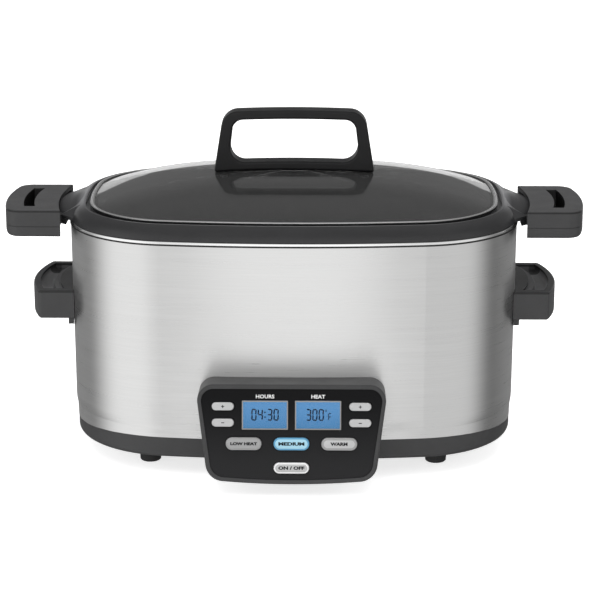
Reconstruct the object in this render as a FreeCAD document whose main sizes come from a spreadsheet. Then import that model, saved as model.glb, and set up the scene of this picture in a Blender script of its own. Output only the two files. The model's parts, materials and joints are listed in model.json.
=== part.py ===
import FreeCAD, Part
import math
import operator
import os
import Sketcher
from FreeCAD import Placement, Rotation, Vector

# Oval slow cooker with a digital control panel.
# Millimetres, +Z up. The long axis of the oval is X and the control panel faces -Y.
# Sketches are drawn about the centre of the oval body, with Z = 0 on the table.
# An "inset" is a distance inwards from the outer face of the steel shell.

# Driving dimensions: alias -> value.
SIZES = {
    # oval outline of the steel shell
    "oval_half_length": 178.0,
    "oval_half_width": 119.7,
    "oval_side_radius": 800.0,
    "oval_end_radius": 400.0,
    "oval_corner_radius": 86.0,
    # clearances
    "slip": 0.1,
    "running_gap": 0.3,
    # feet
    "foot_height": 14.6,
    "foot_radius": 8.25,
    "foot_flare": 0.9,
    "foot_chamfer": 0.8,
    "foot_inset_x": 64.5,
    "foot_inset_y": 48.0,
    "foot_recess_radius": 4.6,
    "foot_recess_depth": 8.5,
    # base tray
    "base_height": 18.7,
    "base_inset": 2.6,
    "base_wall": 2.6,
    "base_rounding": 5.5,
    "spigot_height": 4.7,
    "boss_wall": 2.8,
    "vent_length": 46.0,
    "vent_width": 4.0,
    "vent_pitch": 10.0,
    "vent_count": 7,
    "vent_inset_y": 67.7,
    # steel shell
    "shell_height": 153.7,
    "shell_wall": 0.8,
    "shell_draft": 1.0,
    "curl_height": 12.7,
    "curl_depth": 2.6,
    # trim ring on the top edge of the shell
    "trim_height": 2.1,
    "trim_overhang": 0.4,
    "trim_sheet": 0.9,
    "trim_width": 13.5,
    "trim_skirt": 6.2,
    "trim_rounding": 1.0,
    # heating well
    "liner_sheet": 0.8,
    "liner_flange_inset": 2.6,
    "liner_mouth_inset": 14.0,
    "liner_draft": 9.2,
    "liner_floor_height": 43.5,
    "liner_corner_radius": 12.0,
    "blanket_thickness": 5.8,
    "blanket_bottom": 56.0,
    "blanket_height": 124.0,
    "shield_sheet": 0.8,
    "shield_inset": 38.0,
    "shield_drop": 5.5,
    "plate_inset": 38.0,
    "plate_thickness": 8.7,
    "plate_rounding": 2.0,
    "plate_leg_radius": 5.0,
    "plate_leg_inset_x": 40.0,
    "plate_leg_inset_y": 31.7,
    "plate_hole_radius": 18.0,
    "pin_hole_margin": 1.6,
    "element_radius": 3.5,
    "element_straight": 55.0,
    "element_bend": 38.0,
    "element_gap": 10.0,
    "element_pin_radius": 2.4,
    "element_pin_drop": 13.4,
    # temperature sensor
    "sensor_cap_radius": 13.0,
    "sensor_cap_thickness": 2.5,
    "sensor_stem_radius": 7.2,
    "sensor_collar_radius": 9.5,
    "sensor_collar_thickness": 2.0,
    "sensor_stem_tail": 6.0,
    "sensor_sleeve_wall": 1.3,
    "sensor_sleeve_height": 5.0,
    "sensor_flange_radius": 16.0,
    "sensor_flange_thickness": 1.5,
    "spring_wire_radius": 0.7,
    "spring_turns": 5.0,
    # cooking pot
    "pot_floor_height": 66.0,
    "pot_floor_thickness": 4.0,
    "pot_wall": 3.5,
    "pot_draft": 9.0,
    "pot_outer_rounding": 14.0,
    "pot_inner_rounding": 11.0,
    "rim_height": 10.5,
    "rim_edge": 0.8,
    "rim_shoulder_radius": 16.8,
    "rim_shoulder_inset": 10.4,
    "rim_seat_inset": 12.0,
    "rim_seat_width": 10.0,
    "rim_seat_depth": 3.1,
    "rim_lip_width": 3.0,
    "rim_sheet": 3.6,
    # tongues of the rim that carry the pot handles
    "tongue_length": 26.0,
    "tongue_half_width": 40.0,
    "tongue_root_inset": 13.0,
    "tongue_root_half_width": 58.0,
    "tongue_bottom": 185.2,
    "tongue_thickness": 7.1,
    "tongue_crest": 199.0,
    "tongue_crest_inset": 8.5,
    "tongue_crest_half_width": 34.0,
    # pot handles
    "grip_length": 42.7,
    "grip_outer_radius": 180.0,
    "grip_gap": 10.5,
    "grip_inner_radius": 227.0,
    "grip_half_width": 47.5,
    "grip_bottom": 175.6,
    "grip_parting": 184.2,
    "grip_top": 197.3,
    "grip_corner_radius": 12.0,
    "grip_edge_radius": 1.6,
    "grip_bottom_radius": 3.5,
    "grip_slot_margin": 14.5,
    "grip_slot_width": 8.5,
    "grip_slot_half_length": 32.0,
    "grip_mouth_depth": 5.5,
    "grip_mouth_height": 9.6,
    "grip_screw_margin": 7.5,
    "grip_screw_y": 25.0,
    "grip_counterbore": 3.4,
    "long_screw_length": 14.5,
    # lid
    "lid_ring_inset": 15.5,
    "lid_ring_sheet": 0.8,
    "lid_ring_height": 4.2,
    "lid_ring_lip": 3.4,
    "lid_ring_ledge": 5.5,
    "glass_edge": 2.4,
    "glass_margin": 2.8,
    "glass_thickness": 3.8,
    "glass_rise": 21.1,
    "glass_power": 2.6,
    # lid handle
    "knob_height": 48.4,
    "knob_depth": 18.0,
    "knob_foot_half_width": 64.0,
    "knob_top_half_width": 56.2,
    "knob_top_radius": 14.0,
    "knob_foot_rounding": 1.5,
    "knob_bow_radius": 1125.0,
    "knob_bar": 6.8,
    "knob_grip_bar": 7.0,
    "knob_window_foot": 52.4,
    "knob_window_top": 48.3,
    "knob_window_foot_radius": 12.0,
    "knob_window_top_radius": 9.0,
    "knob_edge_radius": 1.8,
    "knob_screw_x": 56.5,
    "washer_radius": 6.0,
    "washer_thickness": 1.2,
    # lower handles on the housing
    "lug_length": 33.0,
    "lug_root": 16.0,
    "lug_radius": 130.0,
    "lug_half_width": 47.0,
    "lug_bottom": 109.0,
    "lug_height": 23.0,
    "lug_corner_radius": 3.0,
    "lug_edge_radius": 1.6,
    "lug_lip": 5.5,
    "lug_scoop_half_length": 40.0,
    "lug_scoop_width": 11.3,
    "lug_scoop_depth": 6.0,
    "lug_scoop_radius": 4.0,
    "lug_step_width": 4.7,
    "lug_step_depth": 2.5,
    "lug_flange_thickness": 4.0,
    "lug_flange_drop": 5.5,
    "lug_screw_y": 28.0,
    "lug_screw_rise": 11.0,
    "lug_plate_sheet": 1.2,
    "lug_plate_margin": 3.0,
    # control panel box
    "panel_depth": 40.8,
    "panel_bottom": 11.3,
    "panel_tilt": 12.0,
    "panel_fall": 5.0,
    "panel_length": 76.1,
    "panel_foot_half_width": 63.8,
    "panel_top_half_width": 73.3,
    "panel_foot_radius": 14.0,
    "panel_top_radius": 12.5,
    "panel_bow_radius": 640.0,
    "panel_edge_radius": 1.6,
    "panel_wall": 2.6,
    "panel_lip": 3.2,
    "panel_ledge": 1.6,
    "panel_ledge_thickness": 1.6,
    "panel_root": 14.0,
    "panel_boss_setback": 22.0,
    "panel_screw_low_x": 62.8,
    "panel_screw_low": 50.0,
    "panel_screw_high_x": 65.6,
    "panel_screw_high": 68.0,
    # panel face
    "fascia_recess": 0.6,
    "fascia_thickness": 2.2,
    "lens_length": 34.9,
    "lens_height": 22.0,
    "lens_radius": 1.2,
    "lens_proud": 0.8,
    "lens_bevel": 0.7,
    "lens_flange": 1.0,
    "lens_flange_thickness": 0.8,
    "lens_place_x": 20.1,
    "lens_place_y": 53.0,
    "display_margin": 1.0,
    "board_thickness": 1.6,
    "board_depth": 14.0,
    "board_half_width": 54.0,
    "board_bottom": 8.5,
    "board_top": 68.5,
    "post_radius": 2.2,
    "post_upper_x": 41.2,
    "post_upper_y": 64.6,
    "post_lower_x": 48.0,
    "post_lower_y": 18.0,
    # buttons
    "button_proud": 1.4,
    "button_travel": 0.8,
    "button_flange": 1.2,
    "button_flange_thickness": 1.0,
    "button_edge_radius": 0.5,
    "button_post_radius": 1.5,
    "step_button_length": 16.6,
    "step_button_height": 6.0,
    "step_button_x": 52.0,
    "step_button_low": 47.2,
    "step_button_high": 59.6,
    "mode_button_length": 27.0,
    "mode_button_height": 9.5,
    "mode_button_pitch": 36.2,
    "mode_button_y": 31.2,
    "start_button_length": 26.6,
    "start_button_height": 8.2,
    "start_button_y": 12.8,
    "switch_width": 6.2,
    "switch_height": 3.6,
    "post_engagement": 0.55,
    "switch_floor_gap": 0.85,
    # power electronics in the base
    "power_board_half_length": 60.0,
    "power_board_inset": 33.7,
    "power_board_width": 62.0,
    "power_board_lift": 3.5,
    "power_boss_margin": 5.0,
    "relay_length": 28.0,
    "relay_width": 12.5,
    "relay_height": 14.0,
    "relay_x": -42.0,
    "transformer_length": 32.0,
    "transformer_width": 26.0,
    "transformer_height": 14.5,
    "transformer_x": 40.0,
    "parts_row_margin": 20.0,
    "terminal_length": 34.0,
    "terminal_width": 12.0,
    "terminal_height": 8.0,
    "lead_radius": 2.0,
    "ribbon_half_width": 7.0,
    "ribbon_thickness": 1.0,
    "ribbon_rise": 11.2,
    "ribbon_drop_inset": 13.7,
    "ribbon_turn_drop": 12.5,
    "ribbon_end_margin": 4.0,
    "cable_hole_half_width": 12.0,
    "cable_hole_half_height": 3.4,
    "fuse_radius": 1.9,
    "fuse_length": 16.0,
    "fuse_x": 34.0,
    # support posts between the tray and the heat shield
    "support_radius": 4.0,
    "support_inset_x": 66.0,
    "support_inset_y": 75.7,
    "support_boss_height": 6.0,
    "support_counterbore": 3.2,
    # cord outlet at the rear
    "gland_x": 55.0,
    "gland_height": 24.2,
    "gland_bore": 3.6,
    "gland_neck": 5.6,
    "gland_flange": 8.0,
    "gland_flange_thickness": 2.5,
    "gland_proud": 8.0,
    "gland_tail": 6.0,
    # screws
    "screw_radius": 1.7,
    "screw_head_radius": 3.3,
    "screw_head_height": 2.3,
    "screw_length": 11.0,
    "small_screw_radius": 1.0,
    "small_screw_head_radius": 2.0,
    "small_screw_head_height": 1.4,
    "small_screw_length": 6.0,
    "drive_radius": 1.1,
    "drive_depth": 0.9,
}

# How far an edge may lie from the place where it is looked for.
NEAR = 0.01


class Size:
    """A length or angle that knows its number and the formula that ties it to the sheet."""

    def __init__(self, text, value):
        self.text = text
        self.value = value

    def __add__(self, other):
        return combine(self, "+", other)

    def __radd__(self, other):
        return combine(other, "+", self)

    def __sub__(self, other):
        return combine(self, "-", other)

    def __rsub__(self, other):
        return combine(other, "-", self)

    def __mul__(self, other):
        return combine(self, "*", other)

    def __rmul__(self, other):
        return combine(other, "*", self)

    def __truediv__(self, other):
        return combine(self, "/", other)

    def __pow__(self, other):
        return combine(self, "^", other)

    def __neg__(self):
        return combine(-1, "*", self)


OPERATIONS = {
    "+": operator.add,
    "-": operator.sub,
    "*": operator.mul,
    "/": operator.truediv,
    "^": operator.pow,
}


def as_size(number):
    if isinstance(number, Size):
        return number
    return Size(repr(float(number)), float(number))


def combine(left, sign, right):
    left = as_size(left)
    right = as_size(right)
    value = OPERATIONS[sign](left.value, right.value)
    return Size("(%s %s %s)" % (left.text, sign, right.text), value)


def function_of(name, angle):
    """Sine, cosine or tangent of an angle in degrees."""
    value = getattr(math, name)(math.radians(angle.value))
    return Size("%s(%s)" % (name, angle.text), value)


def root(size):
    return Size("sqrt(%s)" % size.text, math.sqrt(size.value))


class Sheet:
    """The spreadsheet of driving dimensions. Its attributes are Size objects."""

    def __init__(self, document):
        self.cells = document.addObject("Spreadsheet::Sheet", "Sizes")
        for row, (alias, value) in enumerate(SIZES.items(), start=1):
            self.cells.set("A%d" % row, alias)
            self.cells.set("B%d" % row, str(value))
            self.cells.setAlias("B%d" % row, alias)

    def __getattr__(self, alias):
        return Size("Sizes." + alias, float(SIZES[alias]))


doc = FreeCAD.newDocument("SlowCooker")
s = Sheet(doc)
doc.recompute()

# Heights and places that several pieces share.
base_bottom = s.foot_height
shell_bottom = base_bottom + s.base_height
shell_top = shell_bottom + s.shell_height
trim_top = shell_top + 2 * s.slip + s.trim_height
rim_bottom = trim_top + s.running_gap
rim_top = rim_bottom + s.rim_height
lid_seat = rim_top - s.rim_seat_depth
lid_ring_bottom = lid_seat + s.running_gap
glass_bottom = lid_ring_bottom + s.lid_ring_sheet + s.slip
glass_shoulder = glass_bottom + s.glass_edge
glass_top = glass_shoulder + s.glass_rise
pot_bottom = s.pot_floor_height - s.pot_floor_thickness
plate_top = pot_bottom - s.running_gap
plate_bottom = plate_top - s.plate_thickness
liner_floor_top = s.liner_floor_height + s.liner_sheet
shield_height = s.liner_floor_height - s.shield_drop
tray_floor_top = base_bottom + s.base_wall
tongue_top = s.tongue_bottom + s.tongue_thickness
lug_top = s.lug_bottom + s.lug_height
lug_screw_height = s.lug_bottom + s.lug_screw_rise
knob_bottom = glass_top + s.running_gap
glass_inset = s.lid_ring_inset + s.lid_ring_sheet + 2 * s.slip
power_board_bottom = tray_floor_top + s.power_board_lift
power_board_top = power_board_bottom + s.board_thickness
gland_back = s.oval_half_width - s.base_inset + s.gland_proud
foot_place_x = s.oval_half_length - s.foot_inset_x
foot_place_y = s.oval_half_width - s.foot_inset_y
support_x = s.oval_half_length - s.support_inset_x
support_y = s.oval_half_width - s.support_inset_y
vent_place_y = s.oval_half_width - s.vent_inset_y
plate_leg_x = s.oval_half_length - s.plate_inset - s.plate_leg_inset_x
plate_leg_y = s.oval_half_width - s.plate_inset - s.plate_leg_inset_y
power_board_front = s.oval_half_width - s.power_board_inset
power_board_rear = power_board_front - s.power_board_width
parts_row_y = s.parts_row_margin - power_board_front
ribbon_height = shell_bottom + s.ribbon_rise
ribbon_turn_height = ribbon_height - s.ribbon_turn_drop
ribbon_end_y = s.ribbon_end_margin - power_board_front
blanket_top = s.blanket_bottom + s.blanket_height
tongue_root = s.oval_half_length - s.tongue_root_inset
tongue_end = s.oval_half_length + s.tongue_length
grip_inner_reach = s.oval_half_length + s.grip_gap
grip_reach = grip_inner_reach + s.grip_length
grip_slot_reach = grip_reach - s.grip_slot_margin - s.grip_slot_width
grip_screw_x = grip_inner_reach + s.grip_screw_margin
lug_reach = s.oval_half_length + s.lug_length
panel_reach = s.oval_half_width + s.panel_depth
fascia_back = -1 * (s.fascia_recess + s.fascia_thickness)
button_flange_top = fascia_back - s.running_gap
button_flange_bottom = button_flange_top - s.button_flange_thickness
switch_top = s.switch_height - s.board_depth
button_post_tip = switch_top - s.post_engagement
switch_well_depth = s.post_engagement + s.button_travel + s.switch_floor_gap
panel_top = s.panel_bottom + s.panel_length * function_of("cos", s.panel_tilt)
# The origin lies midway between the lip of the control panel and the end of the cord outlet.
centre_y = (panel_reach - gland_back) / 2


class Oval:
    """An outline of eight tangent arcs: two sides, two ends and four corners."""

    def __init__(self, half_length, half_width, side, end, corner):
        self.half_length = half_length
        self.half_width = half_width
        self.side = side
        self.end = end
        self.corner = corner

    def inset(self, distance):
        return Oval(
            self.half_length - distance,
            self.half_width - distance,
            self.side - distance,
            self.end - distance,
            self.corner - distance,
        )

    def scaled(self, factor):
        return Oval(
            self.half_length * factor,
            self.half_width * factor,
            self.side * factor,
            self.end * factor,
            self.corner * factor,
        )

    def corner_centre(self):
        """Centre of the first-quadrant corner arc, which touches a side arc and an end arc."""
        end_x = self.half_length.value - self.end.value
        side_y = self.half_width.value - self.side.value
        to_side = self.side.value - self.corner.value
        to_end = self.end.value - self.corner.value
        span = math.hypot(end_x, side_y)
        along = (to_side**2 - to_end**2 + span**2) / (2 * span)
        across = math.sqrt(to_side**2 - along**2)
        unit_x = end_x / span
        unit_y = -side_y / span
        return unit_x * along + unit_y * across, side_y + unit_y * along - unit_x * across


BODY_OVAL = Oval(
    s.oval_half_length,
    s.oval_half_width,
    s.oval_side_radius,
    s.oval_end_radius,
    s.oval_corner_radius,
)
PARTS = []
CUTS = []


def bind(thing, target, size):
    """Tie a property to a sheet formula."""
    thing.setExpression(target, as_size(size).text)


def new_body(label, panel=False, x=0, y=0, height=0, turned=False):
    """Start a sub-part. On the panel its XY plane is the plane of the sloping face."""
    body = doc.addObject("PartDesign::Body", label)
    body.Label = label
    body.AllowCompound = True
    if panel:
        body.Placement = Placement(Vector(), Rotation(Vector(1, 0, 0), 90))
        bind(body, "Placement.Rotation.Angle", 90 - s.panel_tilt)
        y = -panel_reach
        height = s.panel_bottom
    if turned:
        body.Placement = Placement(Vector(), Rotation(Vector(0, 0, 1), 180))
    bind(body, "Placement.Base.x", x)
    bind(body, "Placement.Base.y", centre_y + y)
    bind(body, "Placement.Base.z", height)
    PARTS.append(body)
    return body


def arc_between(start, end, radius, centre_left):
    """Arc between two points, whose centre is on the left or right of the way there."""
    middle = (start + end) * 0.5
    way = end - start
    left = Vector(-way.y, way.x, 0).normalize()
    rise = math.sqrt(max(radius**2 - (way.Length / 2) ** 2, 0))
    centre = middle + left * (rise if centre_left else -rise)
    first, last = (start, end) if centre_left else (end, start)
    angles = [math.atan2(point.y - centre.y, point.x - centre.x) for point in (first, last)]
    return Part.ArcOfCircle(Part.Circle(centre, Vector(0, 0, 1), radius), *angles)


class Outline:
    """A sketch on one of its body's origin planes, with every dimension tied to the sheet."""

    def __init__(self, body, name, plane="XY_Plane", height=0, lift=0, tilt=None):
        self.body = body
        self.sketch = body.newObject("Sketcher::SketchObject", name)
        feature = [f for f in body.Origin.OriginFeatures if f.Role == plane][0]
        self.sketch.AttachmentSupport = [(feature, "")]
        self.sketch.MapMode = "FlatFace"
        if tilt is not None:
            turn = Rotation(Vector(1, 0, 0), -1)
            self.sketch.AttachmentOffset = Placement(Vector(), turn)
            bind(self.sketch, "AttachmentOffset.Rotation.Angle", tilt)
        bind(self.sketch, "AttachmentOffset.Base.y", lift)
        bind(self.sketch, "AttachmentOffset.Base.z", height)

    def add(self, shape, helper=False):
        return self.sketch.addGeometry(shape, helper)

    def fix(self, *constraint):
        """Add a constraint. A last value that is a Size is tied to the sheet."""
        size = constraint[-1]
        if isinstance(size, Size):
            index = self.sketch.addConstraint(
                Sketcher.Constraint(*constraint[:-1], size.value)
            )
            bind(self.sketch, "Constraints[%d]" % index, size)
        else:
            self.sketch.addConstraint(Sketcher.Constraint(*constraint))

    def pin(self, curve, end, x, y):
        """Fix a point of a curve (1 start, 2 end, 3 centre) at x, y."""
        self.fix("DistanceX", curve, end, as_size(x))
        self.fix("DistanceY", curve, end, as_size(y))

    def circle(self, x, y, radius):
        centre = Vector(as_size(x).value, as_size(y).value, 0)
        curve = self.add(Part.Circle(centre, Vector(0, 0, 1), as_size(radius).value))
        self.pin(curve, 3, x, y)
        self.fix("Radius", curve, as_size(radius))
        return self

    def circles(self, places, radius):
        for x, y in places:
            self.circle(x, y, radius)
        return self

    def loop(self, points, arcs=None, closed=True):
        """Line through the points. arcs: side number -> (radius, centre on the left)."""
        arcs = arcs or {}
        places = [Vector(as_size(x).value, as_size(y).value, 0) for x, y in points]
        ends = []
        for side, start in enumerate(places if closed else places[:-1]):
            end = places[(side + 1) % len(places)]
            if side in arcs:
                radius, centre_left = arcs[side]
                curve = self.add(arc_between(start, end, as_size(radius).value, centre_left))
                self.fix("Radius", curve, as_size(radius))
                ends.append((curve, 1, 2) if centre_left else (curve, 2, 1))
            else:
                ends.append((self.add(Part.LineSegment(start, end)), 1, 2))
        for side, (curve, first, last) in enumerate(ends):
            self.pin(curve, first, *points[side])
            if closed or side + 1 < len(ends):
                next_curve, next_first, _ = ends[(side + 1) % len(ends)]
                self.fix("Coincident", curve, last, next_curve, next_first)
            else:
                self.pin(curve, last, *points[-1])
        return self

    def box(self, x, y, length, width):
        """Rectangle centred on x, y."""
        left = x - length / 2
        right = x + length / 2
        low = y - width / 2
        high = y + width / 2
        return self.loop([(left, low), (right, low), (right, high), (left, high)])

    def rounded(self, corners, radii, bow_radius=None, hollow=False):
        """Polygon with rounded corners. bow_radius bends the first side outwards. If hollow, it
        bends the first side in and the third side out, as in an arch."""
        places = [Vector(as_size(x).value, as_size(y).value, 0) for x, y in corners]
        count = len(places)
        cuts = []
        for corner, place in enumerate(places):
            back = (places[corner - 1] - place).normalize()
            ahead = (places[(corner + 1) % count] - place).normalize()
            reach = radii[corner].value / math.tan(back.getAngle(ahead) / 2)
            cuts.append((place + back * reach, place + ahead * reach))
        sides = []
        for corner in range(count):
            start = cuts[corner][1]
            end = cuts[(corner + 1) % count][0]
            if corner == 0 and bow_radius is not None:
                bow = self.add(arc_between(start, end, bow_radius.value, not hollow))
                rise = bow_radius - bow_sag(bow_radius, corners[1][0])
                self.fix("Radius", bow, bow_radius)
                self.pin(bow, 3, 0, corners[0][1] + (-rise if hollow else rise))
                sides.append((bow, 2, 1) if hollow else (bow, 1, 2))
                continue
            if corner == 2 and hollow:
                crown = self.add(arc_between(start, end, bow_radius.value, True))
                rise = bow_radius - bow_sag(bow_radius, corners[2][0])
                self.fix("Radius", crown, bow_radius)
                self.pin(crown, 3, 0, corners[2][1] - rise)
                sides.append((crown, 1, 2))
                continue
            guide = self.add(Part.LineSegment(places[corner], places[(corner + 1) % count]), True)
            self.pin(guide, 1, *corners[corner])
            self.pin(guide, 2, *corners[(corner + 1) % count])
            side = self.add(Part.LineSegment(start, end))
            self.fix("PointOnObject", side, 1, guide)
            self.fix("PointOnObject", side, 2, guide)
            sides.append((side, 1, 2))
        for corner, (arrive, leave) in enumerate(cuts):
            curve = self.add(arc_between(arrive, leave, radii[corner].value, True))
            before, _, before_end = sides[corner - 1]
            after, after_start, _ = sides[corner]
            self.fix("Radius", curve, radii[corner])
            self.fix("Tangent", before, before_end, curve, 1)
            self.fix("Tangent", curve, 2, after, after_start)
        return self

    def rounded_box(self, x, y, length, width, radius):
        left = x - length / 2
        right = x + length / 2
        low = y - width / 2
        high = y + width / 2
        corners = [(left, low), (right, low), (right, high), (left, high)]
        return self.rounded(corners, [radius] * 4)

    def stadium(self, x, y, length, height):
        """A slot lying along the sketch's x axis."""
        radius = height / 2
        reach = (length - height) / 2
        mid = Vector(as_size(x).value, as_size(y).value, 0)
        step = Vector(reach.value, 0, 0)
        up = Vector(0, radius.value, 0)
        right = self.add(arc_between(mid + step - up, mid + step + up, radius.value, True))
        left = self.add(arc_between(mid - step + up, mid - step - up, radius.value, True))
        top = self.add(Part.LineSegment(mid + step + up, mid - step + up))
        bottom = self.add(Part.LineSegment(mid - step - up, mid + step - up))
        for curve, next_curve in ((right, top), (top, left), (left, bottom), (bottom, right)):
            self.fix("Tangent", curve, 2, next_curve, 1)
        self.pin(right, 3, x + reach, y)
        self.pin(left, 3, x - reach, y)
        self.fix("Radius", right, radius)
        self.fix("Equal", right, left)
        return self

    def oval(self, oval):
        """Eight tangent arcs, with the first end arc split where it crosses the x axis."""
        x, y = oval.corner_centre()
        end_centre = oval.half_length - oval.end
        side_centre = oval.half_width - oval.side
        end_turn = math.atan2(y, x - end_centre.value)
        side_turn = math.atan2(y - side_centre.value, x)
        turn = math.pi
        corner = oval.corner.value
        arcs = [
            (end_centre.value, 0, oval.end.value, 0, end_turn),
            (x, y, corner, end_turn, side_turn),
            (0, side_centre.value, oval.side.value, side_turn, turn - side_turn),
            (-x, y, corner, turn - side_turn, turn - end_turn),
            (-end_centre.value, 0, oval.end.value, turn - end_turn, turn + end_turn),
            (-x, -y, corner, turn + end_turn, turn + side_turn),
            (0, -side_centre.value, oval.side.value, turn + side_turn, 2 * turn - side_turn),
            (x, -y, corner, 2 * turn - side_turn, 2 * turn - end_turn),
            (end_centre.value, 0, oval.end.value, 2 * turn - end_turn, 2 * turn),
        ]
        curves = []
        for centre_x, centre_y_, radius, start, end in arcs:
            circle = Part.Circle(Vector(centre_x, centre_y_, 0), Vector(0, 0, 1), radius)
            curves.append(self.add(Part.ArcOfCircle(circle, start, end)))
        for index in range(8):
            self.fix("Tangent", curves[index], 2, curves[index + 1], 1)
        self.fix("Coincident", curves[8], 2, curves[0], 1)
        self.fix("PointOnObject", curves[0], 1, -1)
        self.fix("Coincident", curves[8], 3, curves[0], 3)
        self.pin(curves[0], 3, end_centre, 0)
        self.pin(curves[4], 3, -end_centre, 0)
        self.pin(curves[2], 3, 0, side_centre)
        self.pin(curves[6], 3, 0, -side_centre)
        for index, radius in enumerate([oval.end, oval.corner, oval.side, oval.corner] * 2):
            self.fix("Radius", curves[index], radius)
        return self

    def band(self, inner_centre, inner_radius, outer_centre, outer_radius, half_width):
        """Region between two arcs centred on the x axis, cut off at y = +-half_width."""
        rise = half_width.value
        ends = []
        for centre, radius in ((inner_centre, inner_radius), (outer_centre, outer_radius)):
            turn = math.asin(rise / radius.value)
            circle = Part.Circle(Vector(centre.value, 0, 0), Vector(0, 0, 1), radius.value)
            curve = self.add(Part.ArcOfCircle(circle, -turn, turn))
            self.pin(curve, 3, centre, 0)
            self.fix("Radius", curve, radius)
            reach = centre.value + math.sqrt(radius.value**2 - rise**2)
            ends.append((curve, reach))
        (inner, near), (outer, far) = ends
        for end, sign in ((1, -1), (2, 1)):
            start = Vector(near, sign * rise, 0)
            line = self.add(Part.LineSegment(start, Vector(far, sign * rise, 0)))
            self.fix("Coincident", line, 1, inner, end)
            self.fix("Coincident", line, 2, outer, end)
            self.fix("DistanceY", line, 1, sign * half_width)
            self.fix("DistanceY", line, 2, sign * half_width)
        return self

    def outside(self, oval):
        """Everything around an oval, for cutting a piece back to it."""
        size = (oval.half_length * 3, oval.half_width * 3)
        return self.oval(oval).box(as_size(0), as_size(0), *size)


def bow_sag(radius, half_chord):
    """How far an arc rises over its chord."""
    return radius - root(radius * radius - half_chord * half_chord)


def pad(outline, length, upwards=True, along=None):
    """Extrude an outline along its normal, or along a fixed direction."""
    feature = outline.body.newObject("PartDesign::Pad", "pad")
    feature.Profile = outline.sketch
    bind(feature, "Length", length)
    feature.Reversed = not upwards
    if along is not None:
        feature.UseCustomVector = True
        feature.Direction = along
        feature.AlongSketchNormal = False
    return feature


def pocket(outline, depth, downwards=True, along=None):
    """Cut an outline into the body, against its normal or along a fixed direction."""
    feature = outline.body.newObject("PartDesign::Pocket", "pocket")
    feature.Profile = outline.sketch
    bind(feature, "Length", depth)
    feature.Reversed = not downwards
    if along is not None:
        feature.UseCustomVector = True
        feature.Direction = along
        feature.AlongSketchNormal = False
    CUTS.append(feature)
    return feature


def revolve(outline):
    """Turn an outline about its sketch's vertical axis."""
    feature = outline.body.newObject("PartDesign::Revolution", "revolution")
    feature.Profile = outline.sketch
    feature.ReferenceAxis = (outline.sketch, ["V_Axis"])
    feature.Angle = 360
    return feature


def sweep(profile, path, cut=False):
    """Carry a profile along a path in the same body."""
    kind = "PartDesign::SubtractivePipe" if cut else "PartDesign::AdditivePipe"
    feature = profile.body.newObject(kind, "sweep")
    feature.Profile = profile.sketch
    feature.Spine = (path.sketch, [])
    feature.Transition = "Transformed"
    if cut:
        CUTS.append(feature)
    return feature


def loft(outlines, cut=False, ruled=False):
    """Skin a row of outlines."""
    kind = "PartDesign::SubtractiveLoft" if cut else "PartDesign::AdditiveLoft"
    feature = outlines[0].body.newObject(kind, "loft")
    feature.Profile = outlines[0].sketch
    feature.Sections = [outline.sketch for outline in outlines[1:]]
    feature.Ruled = ruled
    if cut:
        CUTS.append(feature)
    return feature


def chosen_edges(feature, wanted):
    """Names of the edges that a test accepts."""
    doc.recompute()
    names = []
    for number, edge in enumerate(feature.Shape.Edges, start=1):
        if wanted(edge):
            names.append("Edge%d" % number)
    return names


def fillet(feature, radius, wanted):
    """Round the edges that a test accepts."""
    names = chosen_edges(feature, wanted)
    rounded = feature.getParentGeoFeatureGroup().newObject("PartDesign::Fillet", "fillet")
    rounded.Base = (feature, names)
    bind(rounded, "Radius", radius)
    return rounded


def chamfer(feature, size, wanted):
    """Bevel the edges that a test accepts."""
    names = chosen_edges(feature, wanted)
    bevelled = feature.getParentGeoFeatureGroup().newObject("PartDesign::Chamfer", "chamfer")
    bevelled.Base = (feature, names)
    bind(bevelled, "Size", size)
    return bevelled


def level(height):
    """Test for edges that lie flat at a height."""
    height = as_size(height).value
    return lambda edge: all(
        abs(z - height) < NEAR for z in (edge.BoundBox.ZMin, edge.BoundBox.ZMax)
    )


def upright(edge):
    """Whether an edge is a straight vertical line."""
    box = edge.BoundBox
    return box.XLength < NEAR and box.YLength < NEAR


def ring(body, profile_points, arcs=None):
    """Carry a profile of (inset, height) points once round the body oval."""
    spine = Outline(body, "spine").oval(BODY_OVAL)
    points = [(BODY_OVAL.half_length - inset, height) for inset, height in profile_points]
    profile = Outline(body, "profile", plane="XZ_Plane").loop(points, arcs)
    return sweep(profile, spine)


def corners_of(x, y):
    """The four places mirrored about both axes."""
    return [(x * sx, y * sy) for sx in (-1, 1) for sy in (-1, 1)]


def screws(body, plane, places, start, radius, length, head_radius, head_height, away=1):
    """Pan-head screws: the shanks run from start along the plane's normal times away."""
    heads = Outline(body, "heads", plane, height=start).circles(places, head_radius)
    pad(heads, head_height, upwards=away < 0)
    shanks = Outline(body, "shanks", plane, height=start).circles(places, radius)
    pad(shanks, length, upwards=away > 0)
    drives = Outline(body, "drives", plane, height=start - away * head_height)
    drives.circles(places, s.drive_radius)
    return pocket(drives, s.drive_depth, downwards=away < 0)


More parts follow.
